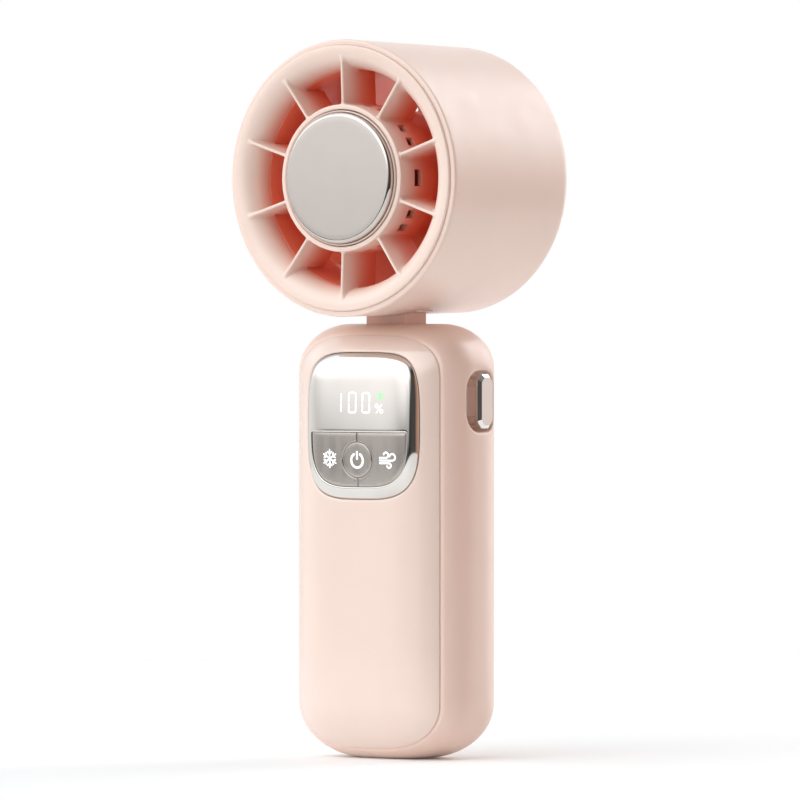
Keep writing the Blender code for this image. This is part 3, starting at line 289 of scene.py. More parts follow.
def pulled(full, foot, top, z, grow):
    """A half size of the grown handle at a height; foot and top are the flat size and round of an end."""
    low = z < HANDLE_HEIGHT / 2
    flat, rounding = np.where(low, foot[0], top[0]), np.where(low, foot[1], top[1])
    rise = np.minimum(z + grow, HANDLE_HEIGHT + grow - z)
    c = 1 - np.clip(rise / (rounding + grow), 0, 1)
    return full + grow - (full - flat + grow) * (1 - np.sqrt(1 - c * c))


def half_sizes(z, grow, is_back=False):
    """Half width of the handle, and its half depth in front or at the back."""
    foot = (END_HALF_DEPTH, HANDLE_END)
    top = np.where(is_back, BACK_HALF_DEPTH, END_HALF_DEPTH), np.where(is_back, BACK_END, HANDLE_END)
    width = pulled(HANDLE_HALF_WIDTH, (FOOT_HALF_WIDTH, HANDLE_END), (TOP_HALF_WIDTH, TOP_END), z, grow)
    return width, pulled(HANDLE_HALF_DEPTH, foot, top, z, grow)


def other_half(share):
    """The second coordinate of a unit superellipse."""
    return np.clip(1 - np.abs(share) ** HANDLE_POWER, 0, 1) ** (1 / HANDLE_POWER)


def on_panel(loop, grow):
    """Lifts points onto the control panel's face, which is slightly crowned up and down."""
    points = on_front(loop, grow)
    points[:, 1] += PANEL_CROWN * ((points[:, 2] - PANEL_Z) / PANEL_HALF_HEIGHT) ** 2
    return points


def on_front(loop, grow):
    """Lifts (x, z) points onto the front of the handle form, grown by an amount."""
    x, z = loop[:, 0], loop[:, 1]
    width, depth = half_sizes(z, grow)
    return np.column_stack((x, HANDLE_Y - depth * other_half(x / width), z))


def seam_ring(plane, grow, count=420):
    """Where a plane of constant depth cuts the grown handle form, from the bottom middle round."""
    share = 1 - np.cos(np.linspace(0, np.pi, 6001))
    z = HANDLE_HEIGHT / 2 * share
    width, depth = half_sizes(z, grow)
    cut = depth > -plane
    run = np.column_stack((width * other_half(plane / depth), z))[cut]
    run[0, 0] = run[-1, 0] = 0
    loop = resample(np.vstack((run, mirrored(run)[1:-1])), count)
    return at_y(loop, HANDLE_Y + plane)


# Shapes under construction

def filled_triangles(flat, triangles, walls, loops):
    """The triangles inside the first loop and outside the others, sorted out by whole regions."""
    corners = flat[triangles]
    (u1, v1), (u2, v2) = (corners[:, 1] - corners[:, 0]).T, (corners[:, 2] - corners[:, 0]).T
    areas = np.abs(u1 * v2 - u2 * v1) / 2
    middles = corners.mean(axis=1)
    within = np.all([inside(middles, loop) == (loop is loops[0]) for loop in loops], axis=0)
    sides = [[frozenset((face[k - 1], face[k])) for k in range(3)] for face in triangles.tolist()]
    owners = {}
    for number, edges in enumerate(sides):
        for edge in edges:
            owners.setdefault(edge, []).append(number)
    kept = np.full(len(triangles), -1)
    for seed in np.argsort(-areas):
        waiting = [seed] if kept[seed] < 0 else []
        kept[waiting] = within[seed] and areas[seed] > SLIVER
        while waiting:
            for edge in sides[waiting.pop()]:
                fresh = [n for n in owners[edge] if kept[n] < 0 and edge not in walls]
                kept[fresh] = kept[seed]
                waiting += fresh
    return triangles[kept == 1]


class Shape:
    """Points and faces of one piece, in millimetres."""

    def __init__(self):
        self.points = []
        self.faces = []

    def add(self, points):
        start = len(self.points)
        self.points.extend(np.asarray(points, float).tolist())
        return list(range(start, len(self.points)))

    def bridge(self, first, second):
        for i in range(len(first)):
            self.faces.append((first[i - 1], first[i], second[i], second[i - 1]))

    def rows(self, start, rows, end=None):
        """Closed rows of points joined in turn, from existing numbers to existing numbers."""
        chain = [] if start is None else [start]
        chain += [self.add(row) for row in rows]
        chain += [] if end is None else [end]
        for first, second in zip(chain, chain[1:]):
            self.bridge(first, second)
        return chain

    def cap(self, numbers):
        self.faces.append(tuple(numbers))

    def patch(self, loops, spacing, *lifts):
        """Fills between a loop and its holes, once for each lift into space; gives each loop's numbers."""
        loops = [np.asarray(loop, float) for loop in loops]
        low, high = loops[0].min(0), loops[0].max(0)
        across = np.arange(low[0], high[0], spacing)
        up = np.arange(low[1], high[1], spacing * 0.866)
        grid = np.array([(u + spacing / 2 * (k % 2), v) for k, v in enumerate(up) for u in across])
        edge = np.vstack(loops)
        for loop in loops:
            grid = grid[inside(grid, loop) == (loop is loops[0])]
        border = np.vstack([resample(loop, spacing=spacing / 2) for loop in loops])
        gaps = np.array([np.min(np.hypot(*(border - p).T)) for p in grid]) if len(grid) else []
        flat = np.vstack((edge, grid[np.asarray(gaps) > spacing * 0.6])) if len(grid) else edge
        found = delaunay_2d_cdt([Vector(p) for p in flat], closed_lines(loops), [], 0, 1e-6)
        flat = np.array([tuple(p) for p in found[0]])
        walls = {frozenset(edge) for edge, sources in zip(found[1], found[4]) if sources}
        triangles = filled_triangles(flat, np.array(found[2]), walls, loops)
        made = {source: number for number, sources in enumerate(found[3]) for source in sources}
        results = []
        for lift in lifts:
            numbers = self.add(lift(flat))
            self.faces += [tuple(numbers[i] for i in triangle) for triangle in triangles]
            rings, start = [], 0
            for loop in loops:
                rings.append([numbers[made[start + i]] for i in range(len(loop))])
                start += len(loop)
            results.append(rings)
        return results

    def solid(self, rows):
        """Closed rows of points joined in turn, with both ends capped."""
        chain = self.rows(None, rows)
        self.cap(chain[0])
        self.cap(chain[-1])

    def turned(self, profile, count=HEAD_TURNS, closed=True):
        """Turns (radius, y) points about the head axis."""
        rows = [at_y(circle(0, AXIS_Z, radius, count), y) for radius, y in profile]
        if closed:
            chain = self.rows(None, rows)
            self.bridge(chain[-1], chain[0])
        else:
            self.solid(rows)


def build_mesh(name, shape, sharp):
    mesh = bpy.data.meshes.new(name)
    mesh.from_pydata((np.array(shape.points) * MM).tolist(), [], shape.faces)
    bm = bmesh.new()
    bm.from_mesh(mesh)
    bmesh.ops.remove_doubles(bm, verts=bm.verts, dist=WELD * MM)
    bmesh.ops.delete(bm, geom=[v for v in bm.verts if not v.link_faces], context="VERTS")
    bmesh.ops.recalc_face_normals(bm, faces=bm.faces)
    if bm.calc_volume(signed=True) < 0:
        bmesh.ops.reverse_faces(bm, faces=bm.faces)
    bm.to_mesh(mesh)
    bm.free()
    mesh.shade_smooth()
    mesh.set_sharp_from_angle(angle=math.radians(sharp))
    made = bpy.data.objects.new(name, mesh)
    bpy.context.scene.collection.objects.link(made)
    return made


def carve(target, operation, shape):
    """Cuts or joins a shape into a finished mesh, and keeps only the result."""
    other = build_mesh("carving", shape, 30)
    step = target.modifiers.new("carve", "BOOLEAN")
    step.operation = operation
    step.solver = "EXACT"
    step.object = other
    graph = bpy.context.evaluated_depsgraph_get()
    result = bpy.data.meshes.new_from_object(target.evaluated_get(graph))
    target.modifiers.clear()
    target.data = result
    bpy.data.objects.remove(other)


def clean_cuts(mesh):
    """Welds the slivers that cutting leaves, so that the mesh stays closed."""
    bm = bmesh.new()
    bm.from_mesh(mesh)
    bmesh.ops.remove_doubles(bm, verts=bm.verts, dist=CUT_WELD * MM)
    bmesh.ops.dissolve_degenerate(bm, edges=bm.edges, dist=CUT_WELD * MM)
    bmesh.ops.triangulate(bm, faces=bm.faces)
    bmesh.ops.dissolve_degenerate(bm, edges=bm.edges, dist=CUT_WELD * MM)
    bm.to_mesh(mesh)
    bm.free()


def piece(name, shape, surface, body, nodes, sharp=30, carvings=()):
    """A visible piece that rides on a body and stands for CAD nodes."""
    made = build_mesh(name, shape, sharp)
    for operation, other in carvings:
        carve(made, operation, other)
    if carvings:
        clean_cuts(made.data)
        made.data.shade_smooth()
        made.data.set_sharp_from_angle(angle=math.radians(sharp))
    made.data.materials.clear()
    made.data.materials.append(surface)
    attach(made, body)
    if nodes:
        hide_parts(*nodes)
    return made


def quarter(count):
    """Sine and cosine steps of a rounded edge, after its first point."""
    turn = np.linspace(0, np.pi / 2, count + 1)[1:]
    return list(zip(np.sin(turn), np.cos(turn)))


# Finishes

class Finish:
    """A node material: a base colour with fine variation, uneven roughness and a surface grain."""

    def __init__(self, name, color, roughness, metallic=0.0):
        self.material = bpy.data.materials.new(name)
        self.material.use_nodes = True
        self.nodes = self.material.node_tree.nodes
        self.links = self.material.node_tree.links
        self.shader = self.nodes["Principled BSDF"]
        self.shader.inputs["Metallic"].default_value = metallic
        self.color = color
        self.roughness = roughness
        self.place = self.nodes.new("ShaderNodeTexCoord").outputs["Object"]

    def noise(self, scale, detail=2.0, stretch=None):
        node = self.nodes.new("ShaderNodeTexNoise")
        node.inputs["Scale"].default_value = scale
        node.inputs["Detail"].default_value = detail
        place = self.place
        if stretch:
            mapping = self.nodes.new("ShaderNodeMapping")
            mapping.inputs["Scale"].default_value = stretch
            self.links.new(place, mapping.inputs["Vector"])
            place = mapping.outputs["Vector"]
        self.links.new(place, node.inputs["Vector"])
        return node.outputs["Fac"]

    def spread(self, source, low, high, start=0.3, stop=0.7):
        node = self.nodes.new("ShaderNodeMapRange")
        node.interpolation_type = "SMOOTHSTEP"
        for key, value in (("From Min", start), ("From Max", stop), ("To Min", low), ("To Max", high)):
            node.inputs[key].default_value = value
        self.links.new(source, node.inputs["Value"])
        return node.outputs["Result"]

    def mix(self, share, first, second):
        node = self.nodes.new("ShaderNodeMix")
        node.data_type = "RGBA"
        self.links.new(share, node.inputs["Factor"])
        for key, value in (("A", first), ("B", second)):
            socket = next(s for s in node.inputs if s.name == key and s.type == "RGBA")
            if isinstance(value, tuple):
                socket.default_value = (*value, 1.0)
            else:
                self.links.new(value, socket)
        return next(s for s in node.outputs if s.type == "RGBA")

    def vary_color(self, scale, amount, stretch=None):
        dark = tuple(c * (1 - amount) for c in self.color)
        light = tuple(min(1.0, c * (1 + amount)) for c in self.color)
        tone = self.mix(self.noise(scale, 3.0, stretch), dark, light)
        self.links.new(tone, self.shader.inputs["Base Color"])
        return tone

    def vary_roughness(self, scale, amount, stretch=None):
        low, high = self.roughness * (1 - amount), self.roughness * (1 + amount)
        value = self.spread(self.noise(scale, 3.0, stretch), low, high)
        self.links.new(value, self.shader.inputs["Roughness"])

    def grain(self, scale, depth, strength=0.3, stretch=None):
        bump = self.nodes.new("ShaderNodeBump")
        bump.inputs["Strength"].default_value = strength
        bump.inputs["Distance"].default_value = depth * MM
        self.links.new(self.noise(scale, 4.0, stretch), bump.inputs["Height"])
        self.links.new(bump.outputs["Normal"], self.shader.inputs["Normal"])

    def axis(self, name):
        node = self.nodes.new("ShaderNodeSeparateXYZ")
        self.links.new(self.place, node.inputs["Vector"])
        return node.outputs[name]

    def head_radius(self):
        """Distance from the head axis, in metres."""
        shift = self.nodes.new("ShaderNodeVectorMath")
        shift.operation = "MULTIPLY_ADD"
        shift.inputs[1].default_value = (1, 0, 1)
        shift.inputs[2].default_value = (0, 0, -AXIS_Z * MM)
        self.links.new(self.place, shift.inputs[0])
        length = self.nodes.new("ShaderNodeVectorMath")
        length.operation = "LENGTH"
        self.links.new(shift.outputs["Vector"], length.inputs[0])
        return length.outputs["Value"]


def plastic(name, color, roughness, grain_depth, coat=0.0):
    made = Finish(name, color, roughness)
    made.vary_color(90, 0.025)
    made.vary_roughness(220, 0.12)
    if grain_depth:
        made.grain(5200, grain_depth)
    made.shader.inputs["Specular IOR Level"].default_value = 0.9
    made.shader.inputs["Coat Weight"].default_value = coat
    made.shader.inputs["Coat Roughness"].default_value = 0.03
    return made


def metal(name, color, roughness, stretch=None, grain_depth=0.0):
    made = Finish(name, color, roughness, 1.0)
    made.vary_color(160, 0.03, stretch)
    made.vary_roughness(400, 0.2, stretch)
    if grain_depth:
        made.grain(3000, grain_depth, 0.2, stretch)
    return made


PINK = (0.89, 0.69, 0.60)
# Painted shade: the deep warm pink that the inside of the air outlet is painted towards
SHADE_PINK = (1.0, 0.30, 0.18)


def shaded_interior_plastic(name, shade_start_y, shade_full_y):
    """Plastic with painted shade: it turns a deeper, warmer pink further into the air outlet, standing in
    for the shade and bounced light in there.
    """
    made = plastic(name, PINK, 0.38, 0.01)
    # Painted shade mask along the depth: none at the first depth, full at the second
    depth = made.spread(made.axis("Y"), 0.0, 1.0, shade_start_y * MM, shade_full_y * MM)
    tone = made.mix(depth, made.vary_color(90, 0.025), SHADE_PINK)
    made.links.new(tone, made.shader.inputs["Base Color"])
    return made


def cold_metal(name):
    """Fine satin on the face of the cold plate, polished round its rim."""
    made = metal(name, (0.61, 0.56, 0.525), 0.3, None, 0.004)
    rim = PLATE_RADIUS - PLATE_EDGE
    edge = made.spread(made.head_radius(), 0.30, 0.06, (rim - 0.05) * MM, (rim + 0.1) * MM)
    made.links.new(edge, made.shader.inputs["Roughness"])
    return made


def lit(name, color, strength):
    """A lamp-lit symbol: slightly uneven, and bright by itself."""
    made = Finish(name, color, 0.35)
    tone = made.vary_color(700, 0.06)
    made.links.new(tone, made.shader.inputs["Emission Color"])
    made.shader.inputs["Emission Strength"].default_value = strength
    made.vary_roughness(500, 0.2)
    return made


satin_pink = plastic("satin_pink", PINK, 0.33, 0.008)
# Painted shade: the back shell is a darker, warmer copy of the satin pink, standing in for the shade along
# the handle's side
shaded_shell_pink = plastic("shaded_shell_pink", (0.86, 0.635, 0.54), 0.33, 0.008)
gloss_pink = plastic("gloss_pink", (0.82, 0.64, 0.56), 0.18, 0.0, 0.6)
# Inside parts of the head, with painted shade deepening into the air outlet
grille_pink = shaded_interior_plastic("grille_pink", -22.8, -11.5)
duct_pink = shaded_interior_plastic("duct_pink", -30.0, -16.0)
impeller_pink = shaded_interior_plastic("impeller_pink", -24.0, -6.0)
mirror = metal("mirror", (0.73, 0.695, 0.66), 0.07)
button_metal = metal("button_metal", (0.46, 0.42, 0.39), 0.2, (1, 1, 0.1))
chrome = metal("chrome", (0.83, 0.81, 0.785), 0.07)
plate_metal = cold_metal("satin_metal")
steel = metal("steel", (0.55, 0.55, 0.56), 0.3)
white_lit = lit("white_lit", (0.95, 0.95, 0.93), 0.55)
green_lit = lit("green_lit", (0.25, 0.80, 0.30), 0.5)


# Handle shells

def in_handle(y):
    return HANDLE_Y + y


def make_front_panel():
    edge = SPLIT - SEAM / 2
    outer = seam_ring(edge - FRONT_ROUND, 0)[:, (0, 2)]
    window = squircle(WINDOW_GAP + WINDOW_ROUND)
    shape = Shape()
    (rim, hole), = shape.patch([outer, window], 1.0, lambda p: on_front(p, 0))
    back_rim = seam_ring(edge, -HANDLE_WALL)[:, (0, 2)]
    back_window = squircle(WINDOW_GAP)
    (inner_rim, inner_hole), = shape.patch(
        [back_rim, back_window], 1.6, lambda p: on_front(p, -HANDLE_WALL)
    )
    steps = quarter(5)
    rolled = [seam_ring(edge - FRONT_ROUND * (1 - s), -FRONT_ROUND * (1 - c)) for s, c in steps]
    shape.rows(rim, rolled, inner_rim)
    lip = []
    for s, c in steps:
        lip.append(on_front(squircle(WINDOW_GAP + WINDOW_ROUND * (1 - s)), -WINDOW_ROUND * (1 - c)))
    shape.rows(hole, lip, inner_hole)
    piece("handle_front_cover", shape, gloss_pink.material, "handle", ["front_panel"])


def section_table():
    """Arc length round the middle section from the back, with the unit section there."""
    turn = np.linspace(0, 2 * np.pi, 8001)
    x = np.sign(np.sin(turn)) * np.abs(np.sin(turn)) ** (2 / HANDLE_POWER)
    y = np.sign(np.cos(turn)) * np.abs(np.cos(turn)) ** (2 / HANDLE_POWER)
    x[4000] = x[-1] = 0
    steps = np.hypot(np.diff(x) * HANDLE_HALF_WIDTH, np.diff(y) * HANDLE_HALF_DEPTH)
    return np.concatenate(([0], np.cumsum(steps))), x, y


ARC, ARC_X, ARC_Y = section_table()
ROUND_LENGTH = ARC[-1]
END_LENGTH = HANDLE_END * math.pi / 2
SIDE_LENGTH = HANDLE_HEIGHT - 2 * HANDLE_END


def on_handle(flat, grow):
    """Lifts (length round, length up) points onto the whole handle form."""
    around, up = flat[:, 0], flat[:, 1]
    top = 2 * END_LENGTH + SIDE_LENGTH
    turn = np.clip(np.minimum(up, top - up) / END_LENGTH, 0, 1) * np.pi / 2
    rise = (HANDLE_END + grow) * (1 - np.cos(turn)) - grow
    straight = np.clip(up - END_LENGTH, 0, SIDE_LENGTH)
    z = np.where(up < top / 2, rise + straight, HANDLE_HEIGHT - rise - (SIDE_LENGTH - straight))
    share = np.interp(around, ARC, ARC_Y)
    width, depth = half_sizes(z, grow, share > 0)
    return np.column_stack((width * np.interp(around, ARC, ARC_X), HANDLE_Y + depth * share, z))


def from_handle(points):
    """The flat place of points that lie on the handle form."""
    x, y, z = points.T
    width, depth = half_sizes(z, 0, y > HANDLE_Y)
    half = len(ARC) // 2 + 1
    around = np.interp(-(y - HANDLE_Y) / depth, -ARC_Y[:half], ARC[:half])
    around = np.where(x < 0, ROUND_LENGTH - around, around)
    rise = np.minimum(z, HANDLE_HEIGHT - z)
    turn = np.arccos(1 - np.clip(rise / HANDLE_END, 0, 1))
    low = turn * 2 / np.pi * END_LENGTH + np.clip(rise - HANDLE_END, 0, None)
    top = 2 * END_LENGTH + SIDE_LENGTH
    return np.column_stack((around, np.where(z < HANDLE_HEIGHT / 2, low, top - low)))


def on_side(loop, depth):
    """Lifts (y, z) points onto the right side of the handle, sunk by a depth."""
    y, z = loop[:, 0], loop[:, 1]
    width, half = half_sizes(z, 0, y > HANDLE_Y)
    return np.column_stack((width * other_half((y - HANDLE_Y) / half) - depth, y, z))


def pocket_loop(grow):
    corner = POCKET_CORNER + grow
    return rounded_box(POCKET_HALF_WIDTH + grow, POCKET_HALF_LENGTH + grow, corner, BAR_Y, BAR_Z, 150)


def leg_loop(side, grow):
    return rounded_box(1.6 + grow, 1.25 + grow, 0.6, BAR_Y, BAR_Z + side * 4.75, 40)


def end_plate(shape, top, rim_points, inner_points, hole):
    """A flat end of the handle with one opening through the wall."""
    height, inner = (HANDLE_HEIGHT, HANDLE_HEIGHT - HANDLE_WALL) if top else (0, HANDLE_WALL)
    inwards = -1 if top else 1
    soft = 0.15
    rounded = inset(hole, -soft)
    (_, mouth), = shape.patch([rim_points, rounded], 1.2, lambda p: at_z(p, height))
    (_, back), = shape.patch([inner_points, hole], 1.6, lambda p: at_z(p, inner))
    rows = []
    for s, c in quarter(3):
        loop = inset(hole, -soft * (1 - s))
        rows.append(at_z(loop, height + inwards * soft * (1 - c)))
    shape.rows(mouth, rows, back)


def make_rear_shell():
    edge = SPLIT + SEAM / 2
    top = 2 * END_LENGTH + SIDE_LENGTH
    across = np.linspace(0, ROUND_LENGTH, 161)
    up = np.linspace(0, top, 101)[1:-1]
    border = np.vstack((
        np.column_stack((across, 0 * across)),
        np.column_stack((0 * up + ROUND_LENGTH, up)),
        np.column_stack((across[::-1], 0 * across + top)),
        np.column_stack((0 * up, up[::-1])),
    ))
    seam = from_handle(seam_ring(edge + REAR_ROUND, 0))
    pocket = from_handle(on_side(pocket_loop(POCKET_ROUND), 0))
    shape = Shape()
    outer, inner = shape.patch(
        [border, seam, pocket],
        1.25,
        lambda p: on_handle(p, 0),
        lambda p: on_handle(p, -HANDLE_WALL),
    )
    steps = quarter(5)
    rolled = [seam_ring(edge + REAR_ROUND * (1 - s), -REAR_ROUND * (1 - c)) for s, c in steps]
    shape.rows(outer[1], rolled, inner[1])

    r = POCKET_ROUND
    rows = [on_side(pocket_loop(r * (1 - s)), r * (1 - c)) for s, c in steps]
    rows += [at_x(pocket_loop(-r * (1 - c)), POCKET_FLOOR + r * (1 - s)) for c, s in reversed(quarter(4))]
    chain = shape.rows(outer[2], rows)
    legs = [leg_loop(side, LEG_GAP) for side in (-1, 1)]
    floor, = shape.patch([pocket_loop(-r), *legs], 1.2, lambda p: at_x(p, POCKET_FLOOR))
    shape.bridge(chain[-1], floor[0])
    block = np.array([shape.points[i] for i in inner[2]])[:, 1:]
    back, = shape.patch([block, *legs], 1.6, lambda p: at_x(p, POCKET_BACK))
    shape.bridge(inner[2], back[0])
    for near, far in zip(floor[1:], back[1:]):
        shape.bridge(near, far)

    for is_top, hole in (
        (False, rounded_box(SOCKET_HALF_WIDTH, SOCKET_HALF_DEPTH, SOCKET_HALF_DEPTH - 0.01, 0, HANDLE_Y)),
        (True, rounded_box(NECK_HALF_WIDTH, NECK_HALF_DEPTH, 0.5, 0, HANDLE_Y)),
    ):
        level = np.column_stack((across[:-1], 0 * across[:-1] + (top if is_top else 0)))
        rim = on_handle(level, 0)[::-1, :2]
        inner_rim = on_handle(level, -HANDLE_WALL)[::-1, :2]
        end_plate(shape, is_top, rim, inner_rim, hole)
    piece("handle_back_shell", shape, shaded_shell_pink.material, "handle", ["rear_shell"])


def bar_loop(grow):
    """Outline of the lanyard bar: a box with its corners cut off and softened."""
    half_u, half_v = BAR_HALF_WIDTH + grow, BAR_HALF_LENGTH + grow
    cut = BAR_CUT + grow * (2 - math.sqrt(2))
    corners = []
    for su, sv in ((1, -1), (1, 1), (-1, 1), (-1, -1)):
        ends = [(su * half_u, sv * (half_v - cut)), (su * (half_u - cut), sv * half_v)]
        corners += ends if su * sv > 0 else ends[::-1]
    loop = []
    for before, corner, after in zip(corners[-1:] + corners[:-1], corners, corners[1:] + corners[:1]):
        before, corner, after = np.array(before), np.array(corner), np.array(after)
        start = corner + 0.25 * (before - corner) / np.linalg.norm(before - corner)
        end = corner + 0.25 * (after - corner) / np.linalg.norm(after - corner)
        for t in np.linspace(0, 1, 5):
            loop.append((1 - t) ** 2 * start + 2 * t * (1 - t) * corner + t * t * end)
    return np.array(loop) + (BAR_Y, BAR_Z)


def make_lanyard_bar():
    """A bevelled bar on two legs that go through the pocket floor."""
    shape = Shape()
    levels = [(BAR_OUTER, -BAR_BEVEL), (BAR_OUTER - BAR_BEVEL, 0.0), (BAR_INNER + 0.3, 0.0)]
    legs = [leg_loop(side, 0) for side in (-1, 1)]
    chain = shape.rows(None, [at_x(bar_loop(grow), x) for x, grow in levels])
    shape.cap(chain[0])
    back, = shape.patch([bar_loop(-0.3), *legs], 0.8, lambda p: at_x(p, BAR_INNER))
    shape.bridge(chain[-1], back[0])
    for loop, ring in zip(legs, back[1:]):
        foot = shape.rows(ring, [at_x(loop, POCKET_BACK + 0.2), at_x(inset(loop, 0.2), POCKET_BACK)])
        shape.cap(foot[-1])
    piece("lanyard_staple", shape, chrome.material, "handle", ["lanyard_bar"])


# Control panel and buttons

def panel_bevel(share):
    """Outline of the panel a share of the way up its bevel, which is broader below than above."""
    return squircle(-PANEL_ROUND * share) + (0, PANEL_LIFT * share)


def make_control_panel():
    shape = Shape()
    top = panel_bevel(1.0)
    face, = shape.patch([top, button_field(FIELD_ROUND)], 0.7, lambda p: on_panel(p, PANEL_PROUD))
    low = PANEL_PROUD - PANEL_WALL
    back, = shape.patch([squircle(0), button_field(0)], 1.0, lambda p: on_front(p, low))
    rounded = []
    for s, c in quarter(8):
        rounded.append(on_panel(panel_bevel(1 - s), PANEL_PROUD - 1.15 * (1 - c)))
    shape.rows(face[0], rounded, back[0])
    rows = []
    for s, c in quarter(4):
        rows.append(on_panel(button_field(FIELD_ROUND * (1 - s)), PANEL_PROUD - FIELD_ROUND * (1 - c)))
    shape.rows(face[1], rows, back[1])
    piece("mirror_panel", shape, mirror.material, "handle", ["control_panel"])


def side_button_loop():
    """Outline of the right-hand button: half of the opening with the round button cut out."""
    edge = BUTTON_GAP / 2
    run = field_run(-BUTTON_GAP)
    run = run[run[:, 0] > edge]
    radius = POWER_RADIUS + BUTTON_GAP
    start = math.asin(edge / radius)
    turn = np.linspace(math.pi / 2 - start, -math.pi / 2 + start, 60)
    bite = np.column_stack((radius * np.cos(turn), POWER_Z + radius * np.sin(turn)))
    low, high = (edge, run[0, 1]), (edge, run[-1, 1])
    sides = [np.vstack((low, run)), (run[-1], high), (high, bite[0]), bite, (bite[-1], low)]
    return np.vstack([even_steps(np.array(side), spacing=2 * BUTTON_ROUND) for side in sides])


def make_button(name, loop, x):
    shape = Shape()
    face, = shape.patch([inset(loop, BUTTON_ROUND)], 0.6, lambda p: on_panel(p, BUTTON_PROUD))
    rows = []
    for s, c in quarter(4):
        rows.append(on_panel(inset(loop, BUTTON_ROUND * (1 - s)), BUTTON_PROUD - BUTTON_ROUND * (1 - c)))
    chain = shape.rows(face[0], rows)
    stem = circle(x, POWER_Z, STEM_RADIUS, 48)
    back, = shape.patch([loop, stem], 1.0, lambda p: at_y(p, in_handle(BUTTON_BACK)))
    shape.bridge(chain[-1], back[0])
    end = shape.rows(back[1], [at_y(stem, in_handle(STEM_BACK))])
    shape.cap(end[-1])
    node = f"{name}_button"
    piece(f"{name}_key", shape, button_metal.material, node, [node])


def make_buttons():
    right = side_button_loop()
    make_button("wind", right, SIDE_BUTTON_X)
    make_button("cool", mirrored(right), -SIDE_BUTTON_X)
    make_button("power", circle(0, POWER_Z, POWER_RADIUS, 120), 0.0)


# Symbols

def arc(u, v, radius, start, stop, count=24):
    turn = np.radians(np.linspace(start, stop, count))
    return np.column_stack((u + radius * np.cos(turn), v + radius * np.sin(turn)))


def stroke(line, width):
    """Outline of a line with round ends."""
    line = np.asarray(line, float)
    steps = np.gradient(line, axis=0)
    steps /= np.linalg.norm(steps, axis=1)[:, None]
    side = np.column_stack((-steps[:, 1], steps[:, 0])) * width / 2
    heading = math.degrees(math.atan2(steps[-1, 1], steps[-1, 0]))
    first = math.degrees(math.atan2(steps[0, 1], steps[0, 0]))
    end = arc(*line[-1], width / 2, heading - 90, heading + 90, 9)
    begin = arc(*line[0], width / 2, first + 90, first + 270, 9)
    return np.vstack((line - side, end[1:-1], (line + side)[::-1], begin[1:-1]))


def stamp(name, outlines, proud, surface, body):
    """A thin inlay on the front of the handle form, from outlines that may cross."""
    flat = np.vstack(outlines)
    found = delaunay_2d_cdt([Vector(p) for p in flat], closed_lines(outlines), [], 0, 1e-5)
    flat = np.array([tuple(p) for p in found[0]])
    triangles = np.array(found[2])
    middle = flat[triangles].mean(axis=1)
    keep = np.any([inside(middle, outline) for outline in outlines], axis=0)
    shape = Shape()
    top = shape.add(on_panel(flat, proud + 0.03))
    low = shape.add(on_panel(flat, proud - 0.05))
    border = {}
    for triangle in triangles[keep]:
        a, b, c = triangle
        shape.faces.append((top[a], top[b], top[c]))
        shape.faces.append((low[c], low[b], low[a]))
        for edge in ((a, b), (b, c), (c, a)):
            if edge[::-1] in border:
                del border[edge[::-1]]
            else:
                border[edge] = True
    for a, b in border:
        shape.faces.append((top[a], top[b], low[b], low[a]))
    piece(name, shape, surface.material, body, [])


def snowflake(u, v, size, width):
    lines = []
    for arm in range(6):
        angle = math.radians(90 + 60 * arm)
        out = np.array((math.cos(angle), math.sin(angle)))
        lines.append([(u, v), tuple((u, v) + out * size)])
        root = (u, v) + out * size * 0.5
        for side in (-1, 1):
            turn = angle + side * math.radians(48)
            tip = root + size * 0.4 * np.array((math.cos(turn), math.sin(turn)))
            lines.append([tuple(root), tuple(tip)])
    return [stroke(line, width) for line in lines]


def power_symbol(v):
    ring = arc(0, v - 0.1, 1.72, 122, 418, 60)
    return [stroke(ring, 0.55), stroke([(0, v + 0.3), (0, v + 1.9)], 0.55)]


def wind_symbol(u, v):
    """Three streams of air with curled ends."""
    upper = np.vstack(([(-2.2, 0.35)], arc(-0.45, 1.0, 0.65, -90, 165)))
    middle = np.vstack(([(-2.2, -0.3)], arc(1.3, 0.5, 0.8, -90, 165)))
    lower = np.vstack(([(-2.2, -0.95)], arc(0.35, -1.5, 0.55, 90, -165)))
    return [stroke(line + (u, v), 0.42) for line in (upper, middle, lower)]


def seven_segment(u, v, half_width, half_height, lit_bars):
    """Bars of one digit with small gaps between them."""
    gap, width = 0.28, 0.4
    bars = {
        "top": [(-half_width + gap, half_height), (half_width - gap, half_height)],
        "bottom": [(-half_width + gap, -half_height), (half_width - gap, -half_height)],
        "upper_left": [(-half_width, half_height - gap), (-half_width, gap)],
        "upper_right": [(half_width, half_height - gap), (half_width, gap)],
        "lower_left": [(-half_width, -gap), (-half_width, -half_height + gap)],
        "lower_right": [(half_width, -gap), (half_width, -half_height + gap)],
    }
    return [stroke(np.array(bars[name]) + (u, v), width) for name in lit_bars]


